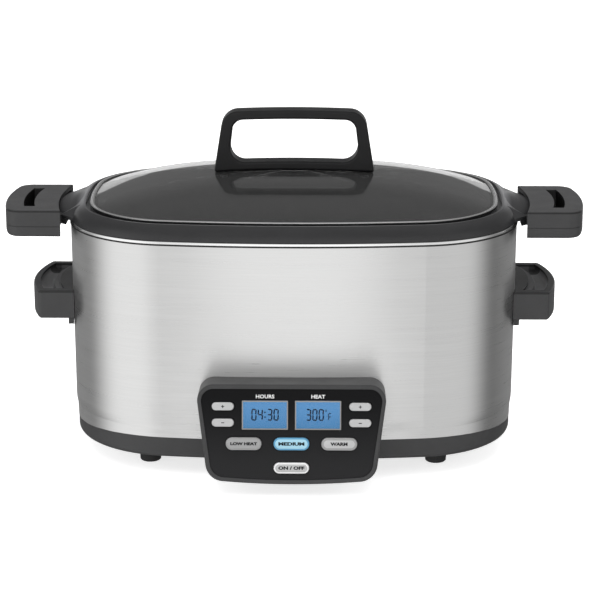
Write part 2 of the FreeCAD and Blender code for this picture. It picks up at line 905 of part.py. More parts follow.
# Surfaces that several pieces follow.
curl_top = shell_bottom + s.curl_height
wall_below_curl = shell_top - curl_top
liner_flange_top = trim_top - s.trim_sheet - s.slip
liner_flange_bottom = liner_flange_top - s.liner_sheet
liner_wall_foot = s.liner_floor_height + s.liner_corner_radius
pot_wall_inset = s.rim_seat_inset + s.rim_seat_width - s.pot_wall
dome_inset = glass_inset + s.glass_margin
hollow_inset = dome_inset + s.glass_thickness * 0.8
hollow_rise = s.glass_edge + s.glass_rise - s.glass_thickness
grip_outer_centre = grip_reach - s.grip_outer_radius
grip_inner_centre = grip_inner_reach - s.grip_inner_radius
oval_end_centre = s.oval_half_length - s.oval_end_radius
lug_centre = lug_reach - s.lug_radius
pin_x = s.element_gap + s.element_radius
element_height = plate_bottom - s.element_radius - s.slip
pin_bottom = element_height - s.element_pin_drop
panel_sag = bow_sag(s.panel_bow_radius, s.panel_foot_half_width)
support_boss_top = base_bottom + s.support_boss_height


def shell_inset(height):
    """Inset of the shell's outer face above the curl."""
    return s.shell_draft * (shell_top - height) / wall_below_curl


def liner_inset(height):
    """Inset of the heating well's outer face above its rounded foot."""
    return s.liner_mouth_inset + s.liner_draft * (liner_flange_bottom - height) / (
        liner_flange_bottom - liner_wall_foot
    )


def dome_height(x):
    """Height of the glass's outer face on the x axis."""
    share = x / (s.oval_half_length - dome_inset)
    return glass_shoulder + s.glass_rise * (1 - share**s.glass_power)


def hollow_height(x):
    """Height of the glass's inner face on the x axis."""
    share = x / (s.oval_half_length - hollow_inset)
    return glass_bottom + hollow_rise * (1 - share**s.glass_power)


def block(label, x, y, length, width, bottom, height, panel=False):
    """A plain box-shaped piece."""
    body = new_body(label, panel=panel)
    pad(Outline(body, "outline", height=bottom).box(as_size(x), as_size(y), length, width), height)
    return body


# ---- base and feet ----


def make_feet():
    for end, sign_y in (("front", -1), ("rear", 1)):
        for side, sign_x in (("left", -1), ("right", 1)):
            place = {"x": sign_x * foot_place_x, "y": sign_y * foot_place_y}
            body = new_body("foot_%s_%s" % (end, side), **place)
            hole = s.screw_radius + s.slip
            points = [
                (s.foot_recess_radius, 0),
                (s.foot_radius - s.foot_chamfer, 0),
                (s.foot_radius, s.foot_chamfer),
                (s.foot_radius + s.foot_flare, s.foot_height),
                (hole, s.foot_height),
                (hole, s.foot_recess_depth),
                (s.foot_recess_radius, s.foot_recess_depth),
            ]
            revolve(Outline(body, "profile", plane="XZ_Plane").loop(points))


def make_base_tray():
    body = new_body("base_tray")
    outer = BODY_OVAL.inset(s.base_inset)
    floor = pad(Outline(body, "outside", height=base_bottom).oval(outer), s.base_height)
    fillet(floor, s.base_rounding, level(base_bottom))
    neck_inset = s.shell_draft + s.curl_depth + s.shell_wall + s.slip
    neck = BODY_OVAL.inset(neck_inset)
    pad(Outline(body, "spigot", height=shell_bottom).oval(neck), s.spigot_height)
    room = Outline(body, "room", height=shell_bottom + s.spigot_height)
    room.oval(BODY_OVAL.inset(neck_inset + s.base_wall))
    pocket(room, s.base_height + s.spigot_height - s.base_wall)

    feet = corners_of(foot_place_x, foot_place_y)
    supports = corners_of(support_x, support_y)
    board = [
        (sign * (s.power_board_half_length - s.power_boss_margin), y)
        for sign in (-1, 1)
        for y in (
            s.power_boss_margin - power_board_front,
            -1 * power_board_rear - s.power_boss_margin,
        )
    ]
    foot_boss_top = s.foot_recess_depth + s.screw_length + s.boss_wall / 2
    root_height = tray_floor_top - s.base_wall / 2
    for places, radius, top in (
        (feet, s.screw_radius + s.boss_wall, foot_boss_top),
        (supports, s.screw_head_radius + s.boss_wall, support_boss_top),
        (board, s.small_screw_radius + s.boss_wall, power_board_bottom),
    ):
        bosses = Outline(body, "bosses", height=root_height).circles(places, radius)
        pad(bosses, top - root_height)
    holes = Outline(body, "foot_holes", height=base_bottom)
    foot_depth = foot_boss_top - base_bottom - s.boss_wall / 2 + s.slip
    pocket(holes.circles(feet, s.screw_radius + s.slip), foot_depth, downwards=False)
    holes = Outline(body, "support_holes", height=base_bottom)
    hole_radius = s.screw_radius + s.slip
    pocket(holes.circles(supports, hole_radius), s.support_boss_height, downwards=False)
    holes = Outline(body, "support_counterbores", height=base_bottom)
    holes.circles(supports, s.screw_head_radius + s.running_gap)
    pocket(holes, s.support_counterbore, downwards=False)
    holes = Outline(body, "board_holes", height=power_board_bottom)
    holes.circles(board, s.small_screw_radius + s.slip)
    pocket(holes, s.small_screw_length - s.board_thickness + s.slip)

    gland = Outline(body, "cord_hole", plane="XZ_Plane")
    gland.circle(s.gland_x, s.gland_height, s.gland_neck)
    pocket(gland, s.oval_half_width)

    vent = Outline(body, "vent", height=base_bottom)
    first = (1 - s.vent_count) * s.vent_pitch / 2
    vent.box(first, vent_place_y, s.vent_width, s.vent_length)
    slot = pocket(vent, s.base_wall, downwards=False)
    pattern = body.newObject("PartDesign::LinearPattern", "vents")
    pattern.Originals = [slot]
    pattern.Direction = (vent.sketch, ["H_Axis"])
    bind(pattern, "Length", (s.vent_count - 1) * s.vent_pitch)
    bind(pattern, "Occurrences", s.vent_count)
    body.Tip = pattern


def make_cord_gland():
    """Bushing in the rear wall of the tray, with a bore for the cord."""
    body = new_body("cord_gland")
    side_centre = s.oval_half_width - s.oval_side_radius
    tray_radius = s.oval_side_radius - s.base_inset
    near_x = s.gland_x - s.gland_flange
    seat = side_centre + root(tray_radius * tray_radius - near_x * near_x) + s.slip
    tail = seat - s.base_wall - s.gland_tail
    neck = Outline(body, "neck", plane="XZ_Plane", height=-tail)
    neck.circle(s.gland_x, s.gland_height, s.gland_neck - s.slip)
    pad(neck, gland_back - tail, upwards=False)
    flange = Outline(body, "flange", plane="XZ_Plane", height=-seat)
    flange.circle(s.gland_x, s.gland_height, s.gland_flange)
    pad(flange, s.gland_flange_thickness, upwards=False)
    bore = Outline(body, "bore", plane="XZ_Plane", height=-tail)
    bore.circle(s.gland_x, s.gland_height, s.gland_bore)
    pocket(bore, gland_back - tail)


def make_support_posts():
    body = new_body("support_posts")
    places = corners_of(support_x, support_y)
    posts = Outline(body, "posts", height=support_boss_top).circles(places, s.support_radius)
    pad(posts, shield_height - support_boss_top)
    holes = Outline(body, "holes", height=support_boss_top)
    holes.circles(places, s.screw_radius + s.slip)
    pocket(holes, s.screw_length, downwards=False)


def make_base_screws():
    """Screws that hold the feet, and screws that pull the support posts onto the tray."""
    body = new_body("base_screws")
    shank = (s.screw_radius, s.screw_length)
    head = (s.screw_head_radius, s.screw_head_height)
    feet = corners_of(foot_place_x, foot_place_y)
    screws(body, "XY_Plane", feet, s.foot_recess_depth, *shank, *head)
    posts = corners_of(support_x, support_y)
    screws(body, "XY_Plane", posts, base_bottom + s.support_counterbore, *shank, *head)


# ---- steel shell ----


def make_housing_shell():
    body = new_body("housing_shell")
    foot_inset = s.shell_draft + s.curl_depth
    reach = s.curl_height * s.curl_height + s.curl_depth * s.curl_depth
    curl_radius = reach / (2 * s.curl_depth)
    points = [
        (0, shell_top),
        (s.shell_draft, curl_top),
        (foot_inset, shell_bottom),
        (foot_inset + s.shell_wall, shell_bottom),
        (s.shell_draft + s.shell_wall, curl_top),
        (s.shell_wall, shell_top),
    ]
    ring(body, points, {1: (curl_radius, False), 3: (curl_radius - s.shell_wall, True)})
    cable = Outline(body, "cable_hole", plane="XZ_Plane")
    half_width = s.cable_hole_half_width
    cable.box(as_size(0), ribbon_height, half_width * 2, s.cable_hole_half_height * 2)
    pocket(cable, s.oval_half_width, downwards=False)
    holes = Outline(body, "panel_holes", plane="XZ_Plane")
    holes.circles(panel_screw_places(), s.screw_radius + s.slip)
    pocket(holes, s.oval_half_width, downwards=False)
    for downwards in (False, True):
        holes = Outline(body, "lug_holes", plane="YZ_Plane")
        holes.circles(lug_screw_places(), s.screw_radius + s.slip)
        pocket(holes, s.oval_half_length, downwards=downwards)


def panel_screw_places():
    lower = (s.panel_screw_low_x, s.panel_screw_low)
    upper = (s.panel_screw_high_x, s.panel_screw_high)
    return [(sign * x, height) for sign in (-1, 1) for x, height in (lower, upper)]


def lug_screw_places():
    return [(sign * s.lug_screw_y, lug_screw_height) for sign in (-1, 1)]


def make_trim_ring():
    body = new_body("trim_ring")
    outside = -1 * s.trim_overhang
    bead_bottom = trim_top - s.trim_height
    skirt_outside = s.shell_wall + s.running_gap
    skirt_inside = skirt_outside + s.trim_sheet
    skirt_bottom = shell_top - s.trim_skirt
    points = [
        (outside, bead_bottom),
        (outside, trim_top - s.trim_rounding),
        (outside + s.trim_rounding, trim_top),
        (s.trim_width, trim_top),
        (s.trim_width, trim_top - s.trim_sheet),
        (skirt_inside, trim_top - s.trim_sheet),
        (skirt_inside, skirt_bottom),
        (skirt_outside, skirt_bottom),
        (skirt_outside, bead_bottom),
    ]
    ring(body, points, {1: (s.trim_rounding, True)})


# ---- heating well ----


def make_heating_liner():
    body = new_body("heating_liner")
    wall = s.liner_mouth_inset + s.liner_draft
    floor_edge = wall + s.liner_corner_radius
    points = [
        (s.liner_flange_inset, liner_flange_bottom),
        (s.liner_flange_inset, liner_flange_top),
        (s.liner_mouth_inset + s.liner_sheet, liner_flange_top),
        (wall + s.liner_sheet, liner_wall_foot),
        (floor_edge, liner_floor_top),
        (floor_edge, s.liner_floor_height),
        (wall, liner_wall_foot),
        (s.liner_mouth_inset, liner_flange_bottom),
    ]
    inner_radius = s.liner_corner_radius - s.liner_sheet
    ring(body, points, {3: (inner_radius, False), 5: (s.liner_corner_radius, True)})
    floor = Outline(body, "floor", height=s.liner_floor_height)
    pad(floor.oval(BODY_OVAL.inset(floor_edge)), s.liner_sheet)
    hole = Outline(body, "sensor_hole", height=liner_floor_top)
    pocket(hole.circle(0, 0, s.sensor_stem_radius + s.running_gap), s.liner_sheet)
    holes = Outline(body, "pin_holes", height=liner_floor_top)
    pocket(holes.circles(pin_places(), s.element_pin_radius + s.pin_hole_margin), s.liner_sheet)


def pin_places():
    return [(sign * pin_x, -1 * s.element_bend) for sign in (-1, 1)]


def make_insulation_blanket():
    body = new_body("insulation_blanket")
    low = liner_inset(s.blanket_bottom) - s.running_gap
    high = liner_inset(blanket_top) - s.running_gap
    points = [
        (low - s.blanket_thickness, s.blanket_bottom),
        (high - s.blanket_thickness, blanket_top),
        (high, blanket_top),
        (low, s.blanket_bottom),
    ]
    ring(body, points)


def make_heat_shield():
    body = new_body("heat_shield")
    tray = Outline(body, "outside", height=shield_height)
    pad(tray.oval(BODY_OVAL.inset(s.shield_inset)), s.shield_drop)
    room = Outline(body, "room", height=s.liner_floor_height)
    room.oval(BODY_OVAL.inset(s.shield_inset + s.shield_sheet))
    pocket(room, s.shield_drop - s.shield_sheet)
    hole = Outline(body, "sensor_hole", height=shield_height + s.shield_sheet)
    pocket(hole.circle(0, 0, s.sensor_collar_radius + s.pin_hole_margin), s.shield_sheet)
    holes = Outline(body, "pin_holes", height=shield_height + s.shield_sheet)
    pocket(holes.circles(pin_places(), s.element_pin_radius + s.pin_hole_margin), s.shield_sheet)


def make_hot_plate():
    body = new_body("hot_plate")
    plate = Outline(body, "plate", height=plate_bottom).oval(BODY_OVAL.inset(s.plate_inset))
    fillet(pad(plate, s.plate_thickness), s.plate_rounding, level(plate_top))
    legs = Outline(body, "legs", height=liner_floor_top)
    legs.circles(corners_of(plate_leg_x, plate_leg_y), s.plate_leg_radius)
    pad(legs, plate_bottom - liner_floor_top)
    hole = Outline(body, "sensor_hole", height=plate_top)
    pocket(hole.circle(0, 0, s.plate_hole_radius), s.plate_thickness)


def make_heating_element():
    body = new_body("heating_element")
    path = Outline(body, "path", height=element_height)
    bend = s.element_bend
    end = s.element_straight + bend
    points = [
        (-1 * s.element_gap, -1 * bend),
        (-1 * s.element_straight, -1 * bend),
        (-1 * end, 0),
        (-1 * s.element_straight, bend),
        (s.element_straight, bend),
        (end, 0),
        (s.element_straight, -1 * bend),
        (s.element_gap, -1 * bend),
    ]
    path.loop(points, {side: (bend, False) for side in (1, 2, 4, 5)}, closed=False)
    tube = Outline(body, "tube", plane="YZ_Plane", height=-1 * s.element_gap)
    sweep(tube.circle(-1 * bend, element_height, s.element_radius), path)
    pins = Outline(body, "pins", height=pin_bottom).circles(pin_places(), s.element_pin_radius)
    pad(pins, s.element_pin_drop)


def make_thermal_fuse():
    body = new_body("thermal_fuse")
    fuse = Outline(body, "fuse", plane="XZ_Plane", height=-1 * s.fuse_length / 2)
    fuse.circle(s.fuse_x, s.liner_floor_height - s.fuse_radius - s.slip, s.fuse_radius)
    pad(fuse, s.fuse_length)


# ---- temperature sensor ----

sleeve_radius = s.sensor_stem_radius + s.running_gap + s.sensor_sleeve_wall
holder_flange_top = liner_floor_top + s.sensor_flange_thickness
sensor_cap_bottom = plate_top - s.sensor_cap_thickness


def make_sensor_holder():
    body = new_body("sensor_holder")
    flange = Outline(body, "flange", height=liner_floor_top).circle(0, 0, s.sensor_flange_radius)
    pad(flange, s.sensor_flange_thickness)
    sleeve = Outline(body, "sleeve", height=holder_flange_top).circle(0, 0, sleeve_radius)
    pad(sleeve, s.sensor_sleeve_height)
    bore = Outline(body, "bore", height=liner_floor_top)
    bore.circle(0, 0, s.sensor_stem_radius + s.running_gap)
    pocket(bore, s.sensor_flange_thickness + s.sensor_sleeve_height, downwards=False)


def make_sensor_plunger():
    body = new_body("sensor_plunger")
    cap = Outline(body, "cap", height=sensor_cap_bottom).circle(0, 0, s.sensor_cap_radius)
    fillet(pad(cap, s.sensor_cap_thickness), s.sensor_cap_thickness / 3, level(plate_top))
    collar_top = s.liner_floor_height - s.running_gap
    collar_bottom = collar_top - s.sensor_collar_thickness
    stem_bottom = collar_bottom - s.sensor_stem_tail
    stem = Outline(body, "stem", height=stem_bottom).circle(0, 0, s.sensor_stem_radius)
    pad(stem, sensor_cap_bottom - stem_bottom)
    collar = Outline(body, "collar", height=collar_bottom).circle(0, 0, s.sensor_collar_radius)
    pad(collar, s.sensor_collar_thickness)


def make_sensor_spring():
    """Coil spring between the holder's flange and the cap. Its wire is swept along a helix."""
    wire = s.spring_wire_radius.value
    coil = sleeve_radius.value + wire + s.running_gap.value
    start = holder_flange_top.value + wire + s.slip.value
    rise = sensor_cap_bottom.value - wire - s.slip.value - start
    helix = Part.makeHelix(rise / s.spring_turns.value, rise, coil)
    profile = Part.Wire(Part.makeCircle(wire, Vector(coil, 0, 0), Vector(0, 1, 0)))
    spring = doc.addObject("Part::Feature", "sensor_spring")
    spring.Label = "sensor_spring"
    spring.Shape = Part.Wire(helix.Edges).makePipeShell([profile], True, True)
    spring.Placement = Placement(Vector(0, centre_y.value, start), Rotation())
    PARTS.append(spring)


# ---- lower handles ----


def make_lug(label, turned):
    """Handle on the end of the shell, with a scoop in its top."""
    body = new_body(label, turned=turned)
    inside = s.oval_half_length - s.lug_root
    outline = Outline(body, "outline", height=s.lug_bottom)
    centre = lug_centre
    outline.band(centre, inside - centre, centre, s.lug_radius, s.lug_half_width)
    far = s.oval_half_length.value
    rounded = fillet(
        pad(outline, s.lug_height),
        s.lug_corner_radius,
        lambda edge: upright(edge) and edge.BoundBox.XMin > far,
    )
    flat = (level(s.lug_bottom), level(lug_top))
    fillet(
        rounded,
        s.lug_edge_radius,
        lambda edge: any(test(edge) for test in flat) and edge.BoundBox.XMax > far,
    )
    flange_bottom = s.lug_bottom - s.lug_flange_drop
    beyond = s.oval_half_length + s.lug_flange_thickness * 2
    width = (s.lug_half_width - s.lug_flange_thickness) * 2
    flange = Outline(body, "flange", height=flange_bottom)
    flange.box((inside + beyond) / 2, as_size(0), beyond - inside, width)
    pad(flange, s.lug_flange_drop + s.lug_flange_thickness)
    face = Outline(body, "flange_face", height=flange_bottom)
    face.outside(BODY_OVAL.inset(-1 * s.lug_flange_thickness))
    pocket(face, s.lug_flange_drop, downwards=False)
    seat = Outline(body, "shell_seat", height=flange_bottom)
    seat.oval(BODY_OVAL.inset(shell_inset(lug_top) - s.slip))
    pocket(seat, s.lug_flange_drop + s.lug_height, downwards=False)
    scoop_outside = s.lug_radius - s.lug_lip
    scoop_inside = scoop_outside - s.lug_scoop_width
    scoop = Outline(body, "scoop", height=lug_top)
    scoop.band(centre, scoop_inside, centre, scoop_outside, s.lug_scoop_half_length)
    scooped = pocket(scoop, s.lug_scoop_depth)
    fillet(scooped, s.lug_scoop_radius, level(lug_top - s.lug_scoop_depth))
    step = Outline(body, "step", height=lug_top)
    step_inside = scoop_inside - s.lug_step_width
    step.band(centre, step_inside, centre, scoop_outside, s.lug_scoop_half_length)
    pocket(step, s.lug_step_depth)
    holes = Outline(body, "screw_holes", plane="YZ_Plane", height=s.oval_half_length / 2)
    holes.circles(lug_screw_places(), s.screw_radius + s.slip)
    pocket(holes, s.oval_half_length / 2 + s.screw_length, downwards=False)


lug_plate_inset = shell_inset(s.lug_bottom) + s.shell_wall + s.running_gap


def make_lug_plate(label, turned):
    """Steel strip inside the shell that takes the pull of a lower handle."""
    body = new_body(label, turned=turned)
    bottom = s.lug_bottom + s.lug_plate_margin
    strip = Outline(body, "strip", height=bottom)
    width = (s.lug_half_width - s.lug_plate_margin) * 2
    height = s.lug_height - s.lug_plate_margin * 2
    start = s.oval_half_length - s.lug_root
    pad(strip.box(start + s.lug_root / 2, as_size(0), s.lug_root, width), height)
    outer = Outline(body, "outer_face", height=bottom).outside(BODY_OVAL.inset(lug_plate_inset))
    pocket(outer, height, downwards=False)
    inner = Outline(body, "inner_face", height=bottom)
    inner.oval(BODY_OVAL.inset(lug_plate_inset + s.lug_plate_sheet))
    pocket(inner, height, downwards=False)
    holes = Outline(body, "screw_holes", plane="YZ_Plane", height=s.oval_half_length / 2)
    holes.circles(lug_screw_places(), s.screw_radius + s.slip)
    pocket(holes, s.oval_half_length / 2, downwards=False)


def make_lug_screws():
    body = new_body("housing_handle_screws")
    radius = s.oval_end_radius - lug_plate_inset - s.lug_plate_sheet
    offset = s.lug_screw_y + s.screw_head_radius
    seat = oval_end_centre + root(radius * radius - offset * offset) - s.slip
    head = (s.screw_head_radius, s.screw_head_height)
    for away in (1, -1):
        places = lug_screw_places()
        shank = (s.screw_radius, s.screw_length)
        screws(body, "YZ_Plane", places, away * seat, *shank, *head, away=away)


# ---- control panel box ----


def panel_corners(inset):
    """Corners of the panel face, drawn on its own plane with the lip's lowest point at 0."""
    low = panel_sag + inset
    high = s.panel_length - inset
    foot = s.panel_foot_half_width - inset
    top = s.panel_top_half_width - inset
    return [(-1 * foot, low), (foot, low), (top, high), (-1 * top, high)]


def panel_outline(outline, inset):
    """Draw the panel's outline, moved inwards."""
    foot = s.panel_foot_radius - inset
    top = s.panel_top_radius - inset
    bow = s.panel_bow_radius - inset
    return outline.rounded(panel_corners(inset), [foot, foot, top, top], bow)


def face_sketch(body, name, depth):
    """Sketch parallel to the panel face, a depth behind it, in a body that stands upright."""
    depth = as_size(depth)
    lift = s.panel_bottom - depth * function_of("sin", s.panel_tilt)
    reach = panel_reach - depth * function_of("cos", s.panel_tilt)
    return Outline(body, name, "XZ_Plane", height=reach, lift=lift, tilt=-1 * s.panel_tilt)


def on_panel_face(edge):
    """Whether an edge lies in the plane of the panel face."""
    slope = math.tan(math.radians(s.panel_tilt.value))
    gaps = []
    for vertex in edge.Vertexes:
        plane_y = slope * (vertex.Z - s.panel_bottom.value) - panel_reach.value
        gaps.append(abs(vertex.Y - plane_y))
    return max(gaps) < NEAR


def make_panel_housing():
    body = new_body("panel_housing")
    fall = math.radians(s.panel_fall.value)
    inwards = Vector(0, math.cos(fall), -math.sin(fall))
    depth = panel_reach - s.oval_half_width + s.panel_root
    solid = pad(panel_outline(face_sketch(body, "face", 0), 0), depth, along=inwards)
    fillet(solid, s.panel_edge_radius, on_panel_face)
    seat_depth = s.fascia_recess + s.fascia_thickness
    seat = panel_outline(face_sketch(body, "fascia_seat", 0), s.panel_lip)
    pocket(seat, seat_depth)
    opening = face_sketch(body, "opening", seat_depth)
    pocket(panel_outline(opening, s.panel_lip + s.panel_ledge), s.panel_ledge_thickness)
    room = face_sketch(body, "room", seat_depth + s.panel_ledge_thickness)
    pocket(panel_outline(room, s.panel_wall), depth, along=inwards)
    root_height = s.oval_half_width - s.panel_root
    boss_length = panel_reach - s.panel_boss_setback - root_height
    bosses = Outline(body, "bosses", plane="XZ_Plane", height=root_height)
    bosses.circles(panel_screw_places(), s.screw_radius + s.boss_wall)
    pad(bosses, boss_length)
    holes = Outline(body, "screw_holes", plane="XZ_Plane", height=root_height)
    holes.circles(panel_screw_places(), s.screw_radius + s.slip)
    pocket(holes, s.panel_root + s.screw_length, downwards=False)
    fit = shell_inset(panel_top) - s.slip
    above = Outline(body, "shell_seat", height=shell_bottom).oval(BODY_OVAL.inset(fit))
    pocket(above, s.panel_length, downwards=False)
    below = Outline(body, "base_seat", height=shell_bottom)
    below.oval(BODY_OVAL.inset(s.base_inset - s.running_gap))
    pocket(below, shell_bottom)


def make_panel_screws():
    body = new_body("panel_screws")
    radius = s.oval_side_radius - s.shell_draft - s.shell_wall
    centre = s.oval_half_width - s.oval_side_radius
    far_x = s.panel_screw_high_x + s.screw_head_radius
    seat = centre + root(radius * radius - far_x * far_x)
    head = (s.screw_head_radius, s.screw_head_height)
    shank = (s.screw_radius, s.screw_length)
    screws(body, "XZ_Plane", panel_screw_places(), seat, *shank, *head)


# ---- panel face and its electronics; these are drawn on the plane of the face ----

LENSES = (("time", -1), ("temperature", 1))
STEP_BUTTON = (s.step_button_length, s.step_button_height)
MODE_BUTTON = (s.mode_button_length, s.mode_button_height)
START_BUTTON = (s.start_button_length, s.start_button_height)
BUTTONS = (
    ("time_up_button", -1 * s.step_button_x, s.step_button_high, STEP_BUTTON),
    ("time_down_button", -1 * s.step_button_x, s.step_button_low, STEP_BUTTON),
    ("temperature_up_button", s.step_button_x, s.step_button_high, STEP_BUTTON),
    ("temperature_down_button", s.step_button_x, s.step_button_low, STEP_BUTTON),
    ("mode_button_left", -1 * s.mode_button_pitch, s.mode_button_y, MODE_BUTTON),
    ("mode_button_middle", as_size(0), s.mode_button_y, MODE_BUTTON),
    ("mode_button_right", s.mode_button_pitch, s.mode_button_y, MODE_BUTTON),
    ("start_button", as_size(0), s.start_button_y, START_BUTTON),
)


def post_places():
    """Places of the fascia's four posts, which carry the control board."""
    upper = (s.post_upper_x, s.post_upper_y)
    lower = (s.post_lower_x, s.post_lower_y)
    return [(sign * x, y) for sign in (-1, 1) for x, y in (upper, lower)]


def make_fascia():
    body = new_body("panel_fascia", panel=True)
    plate = Outline(body, "outline", height=-1 * s.fascia_recess)
    pad(panel_outline(plate, s.panel_lip + s.slip), s.fascia_thickness, upwards=False)
    posts = Outline(body, "posts", height=fascia_back).circles(post_places(), s.post_radius)
    pad(posts, s.board_depth + fascia_back, upwards=False)
    windows = Outline(body, "windows", height=-1 * s.fascia_recess)
    for _, sign in LENSES:
        size = (s.lens_length + s.slip, s.lens_height + s.slip, s.lens_radius)
        windows.rounded_box(sign * s.lens_place_x, s.lens_place_y, *size)
    pocket(windows, s.fascia_thickness)
    openings = Outline(body, "button_openings", height=-1 * s.fascia_recess)
    for _, x, y, (length, height) in BUTTONS:
        gap = s.running_gap * 2
        openings.stadium(x, y, length + gap, height + gap)
    pocket(openings, s.fascia_thickness)
    holes = Outline(body, "post_holes", height=-1 * s.board_depth)
    holes.circles(post_places(), s.small_screw_radius + s.slip)
    pocket(holes, s.small_screw_length, downwards=False)


def make_lens(name, sign):
    body = new_body(name + "_lens", panel=True)
    x = sign * s.lens_place_x
    y = s.lens_place_y
    flange_bottom = fascia_back - s.lens_flange_thickness
    wide = s.lens_length + s.lens_flange * 2
    tall = s.lens_height + s.lens_flange * 2
    flange = Outline(body, "flange", height=flange_bottom)
    pad(flange.box(x, y, wide, tall), s.lens_flange_thickness)
    window = Outline(body, "window", height=fascia_back)
    window.rounded_box(x, y, s.lens_length, s.lens_height, s.lens_radius)
    front = s.lens_proud - s.fascia_recess
    chamfer(pad(window, front - fascia_back), s.lens_bevel, level(front))


def make_display(name, sign):
    bottom = -1 * s.board_depth
    height = s.board_depth + fascia_back - s.lens_flange_thickness - s.slip
    size = (s.lens_length - s.display_margin, s.lens_height - s.display_margin)
    place = (sign * s.lens_place_x, s.lens_place_y)
    block(name + "_display", *place, *size, bottom, height, panel=True)


def make_control_board():
    bottom = -1 * s.board_depth - s.board_thickness
    middle = (s.board_bottom + s.board_top) / 2
    size = (s.board_half_width * 2, s.board_top - s.board_bottom)
    body = block("control_board", 0, middle, *size, bottom, s.board_thickness, panel=True)
    holes = Outline(body, "screw_holes", height=-1 * s.board_depth)
    holes.circles(post_places(), s.small_screw_radius + s.slip)
    pocket(holes, s.board_thickness)


def make_control_board_screws():
    body = new_body("control_board_screws", panel=True)
    start = -1 * s.board_depth - s.board_thickness
    small = (s.small_screw_radius, s.small_screw_length)
    head = (s.small_screw_head_radius, s.small_screw_head_height)
    screws(body, "XY_Plane", post_places(), start, *small, *head)


def make_button_switches():
    """One push switch behind each button, with a well that the button's post enters."""
    body = new_body("button_switches", panel=True)
    cases = Outline(body, "cases", height=-1 * s.board_depth)
    for _, x, y, _ in BUTTONS:
        cases.box(x, y, s.switch_width, s.switch_width)
    pad(cases, s.switch_height)
    wells = Outline(body, "wells", height=switch_top)
    places = [(x, y) for _, x, y, _ in BUTTONS]
    wells.circles(places, s.button_post_radius + s.running_gap)
    pocket(wells, switch_well_depth)


def make_button(label, x, y, length, height):
    """Cap, retaining flange behind the fascia, and post."""
    body = new_body(label, panel=True)
    front = s.button_proud - s.fascia_recess
    wide = s.button_flange * 2
    flange = Outline(body, "flange", height=button_flange_bottom)
    pad(flange.stadium(x, y, length + wide, height + wide), s.button_flange_thickness)
    cap = Outline(body, "cap", height=button_flange_top).stadium(x, y, length, height)
    fillet(pad(cap, front - button_flange_top), s.button_edge_radius, level(front))
    post = Outline(body, "post", height=button_post_tip).circle(x, y, s.button_post_radius)
    pad(post, button_flange_bottom - button_post_tip)


# ---- power electronics ----


def make_power_board():
    half = s.power_board_half_length
    middle = -1 * (power_board_front + power_board_rear) / 2
    size = (half * 2, power_board_front - power_board_rear)
    body = block("power_board", 0, middle, *size, power_board_bottom, s.board_thickness)
    holes = Outline(body, "screw_holes", height=power_board_top)
    holes.circles(power_screw_places(), s.small_screw_radius + s.slip)
    pocket(holes, s.board_thickness)


def power_screw_places():
    x = s.power_board_half_length - s.power_boss_margin
    front = s.power_boss_margin - power_board_front
    rear = -1 * power_board_rear - s.power_boss_margin
    return [(sign * x, y) for sign in (-1, 1) for y in (front, rear)]


def make_power_board_screws():
    body = new_body("power_board_screws")
    small = (s.small_screw_radius, s.small_screw_length)
    head = (s.small_screw_head_radius, s.small_screw_head_height)
    screws(body, "XY_Plane", power_screw_places(), power_board_top, *small, *head, away=-1)


def make_relay():
    size = (s.relay_length, s.relay_width)
    block("relay", s.relay_x, parts_row_y, *size, power_board_top, s.relay_height)


def make_transformer():
    """Laminated core with a taller bobbin across its middle."""
    length = s.transformer_length
    width = s.transformer_width
    low = s.transformer_height * 0.8
    place = (s.transformer_x, parts_row_y)
    body = block("transformer", *place, length, width * 0.7, power_board_top, low)
    bobbin = Outline(body, "bobbin", height=power_board_top)
    pad(bobbin.box(*place, length * 0.6, width), s.transformer_height)


def make_terminal_block():
    size = (s.terminal_length, s.terminal_width)
    place = (0, -1 * s.element_bend)
    block("terminal_block", *place, *size, power_board_top, s.terminal_height)


def make_heater_leads():
    """Sleeved leads from the terminal block up to the heating element's pins."""
    body = new_body("heater_leads")
    bottom = power_board_top + s.terminal_height
    leads = Outline(body, "leads", height=bottom).circles(pin_places(), s.lead_radius)
    pad(leads, pin_bottom - bottom)


def make_ribbon_cable():
    """Flat cable from the back of the control board, through the shell, to the power board."""
    body = new_body("ribbon_cable")
    rise = ribbon_height - s.panel_bottom
    behind = s.board_depth + s.board_thickness
    slope = rise * function_of("tan", s.panel_tilt)
    back = behind / function_of("cos", s.panel_tilt)
    start = slope + back - panel_reach + s.slip
    drop = s.ribbon_drop_inset - s.oval_half_width
    half = s.ribbon_thickness / 2
    high = ribbon_height
    low = ribbon_turn_height
    end = ribbon_end_y
    points = [
        (start, high - half),
        (drop - half, high - half),
        (drop - half, low - half),
        (end - half, low - half),
        (end - half, power_board_top),
        (end + half, power_board_top),
        (end + half, low + half),
        (drop + half, low + half),
        (drop + half, high + half),
        (start + half, high + half),
    ]
    side = Outline(body, "side", plane="YZ_Plane", height=-1 * s.ribbon_half_width)
    pad(side.loop(points), s.ribbon_half_width * 2)


# ---- cooking pot ----


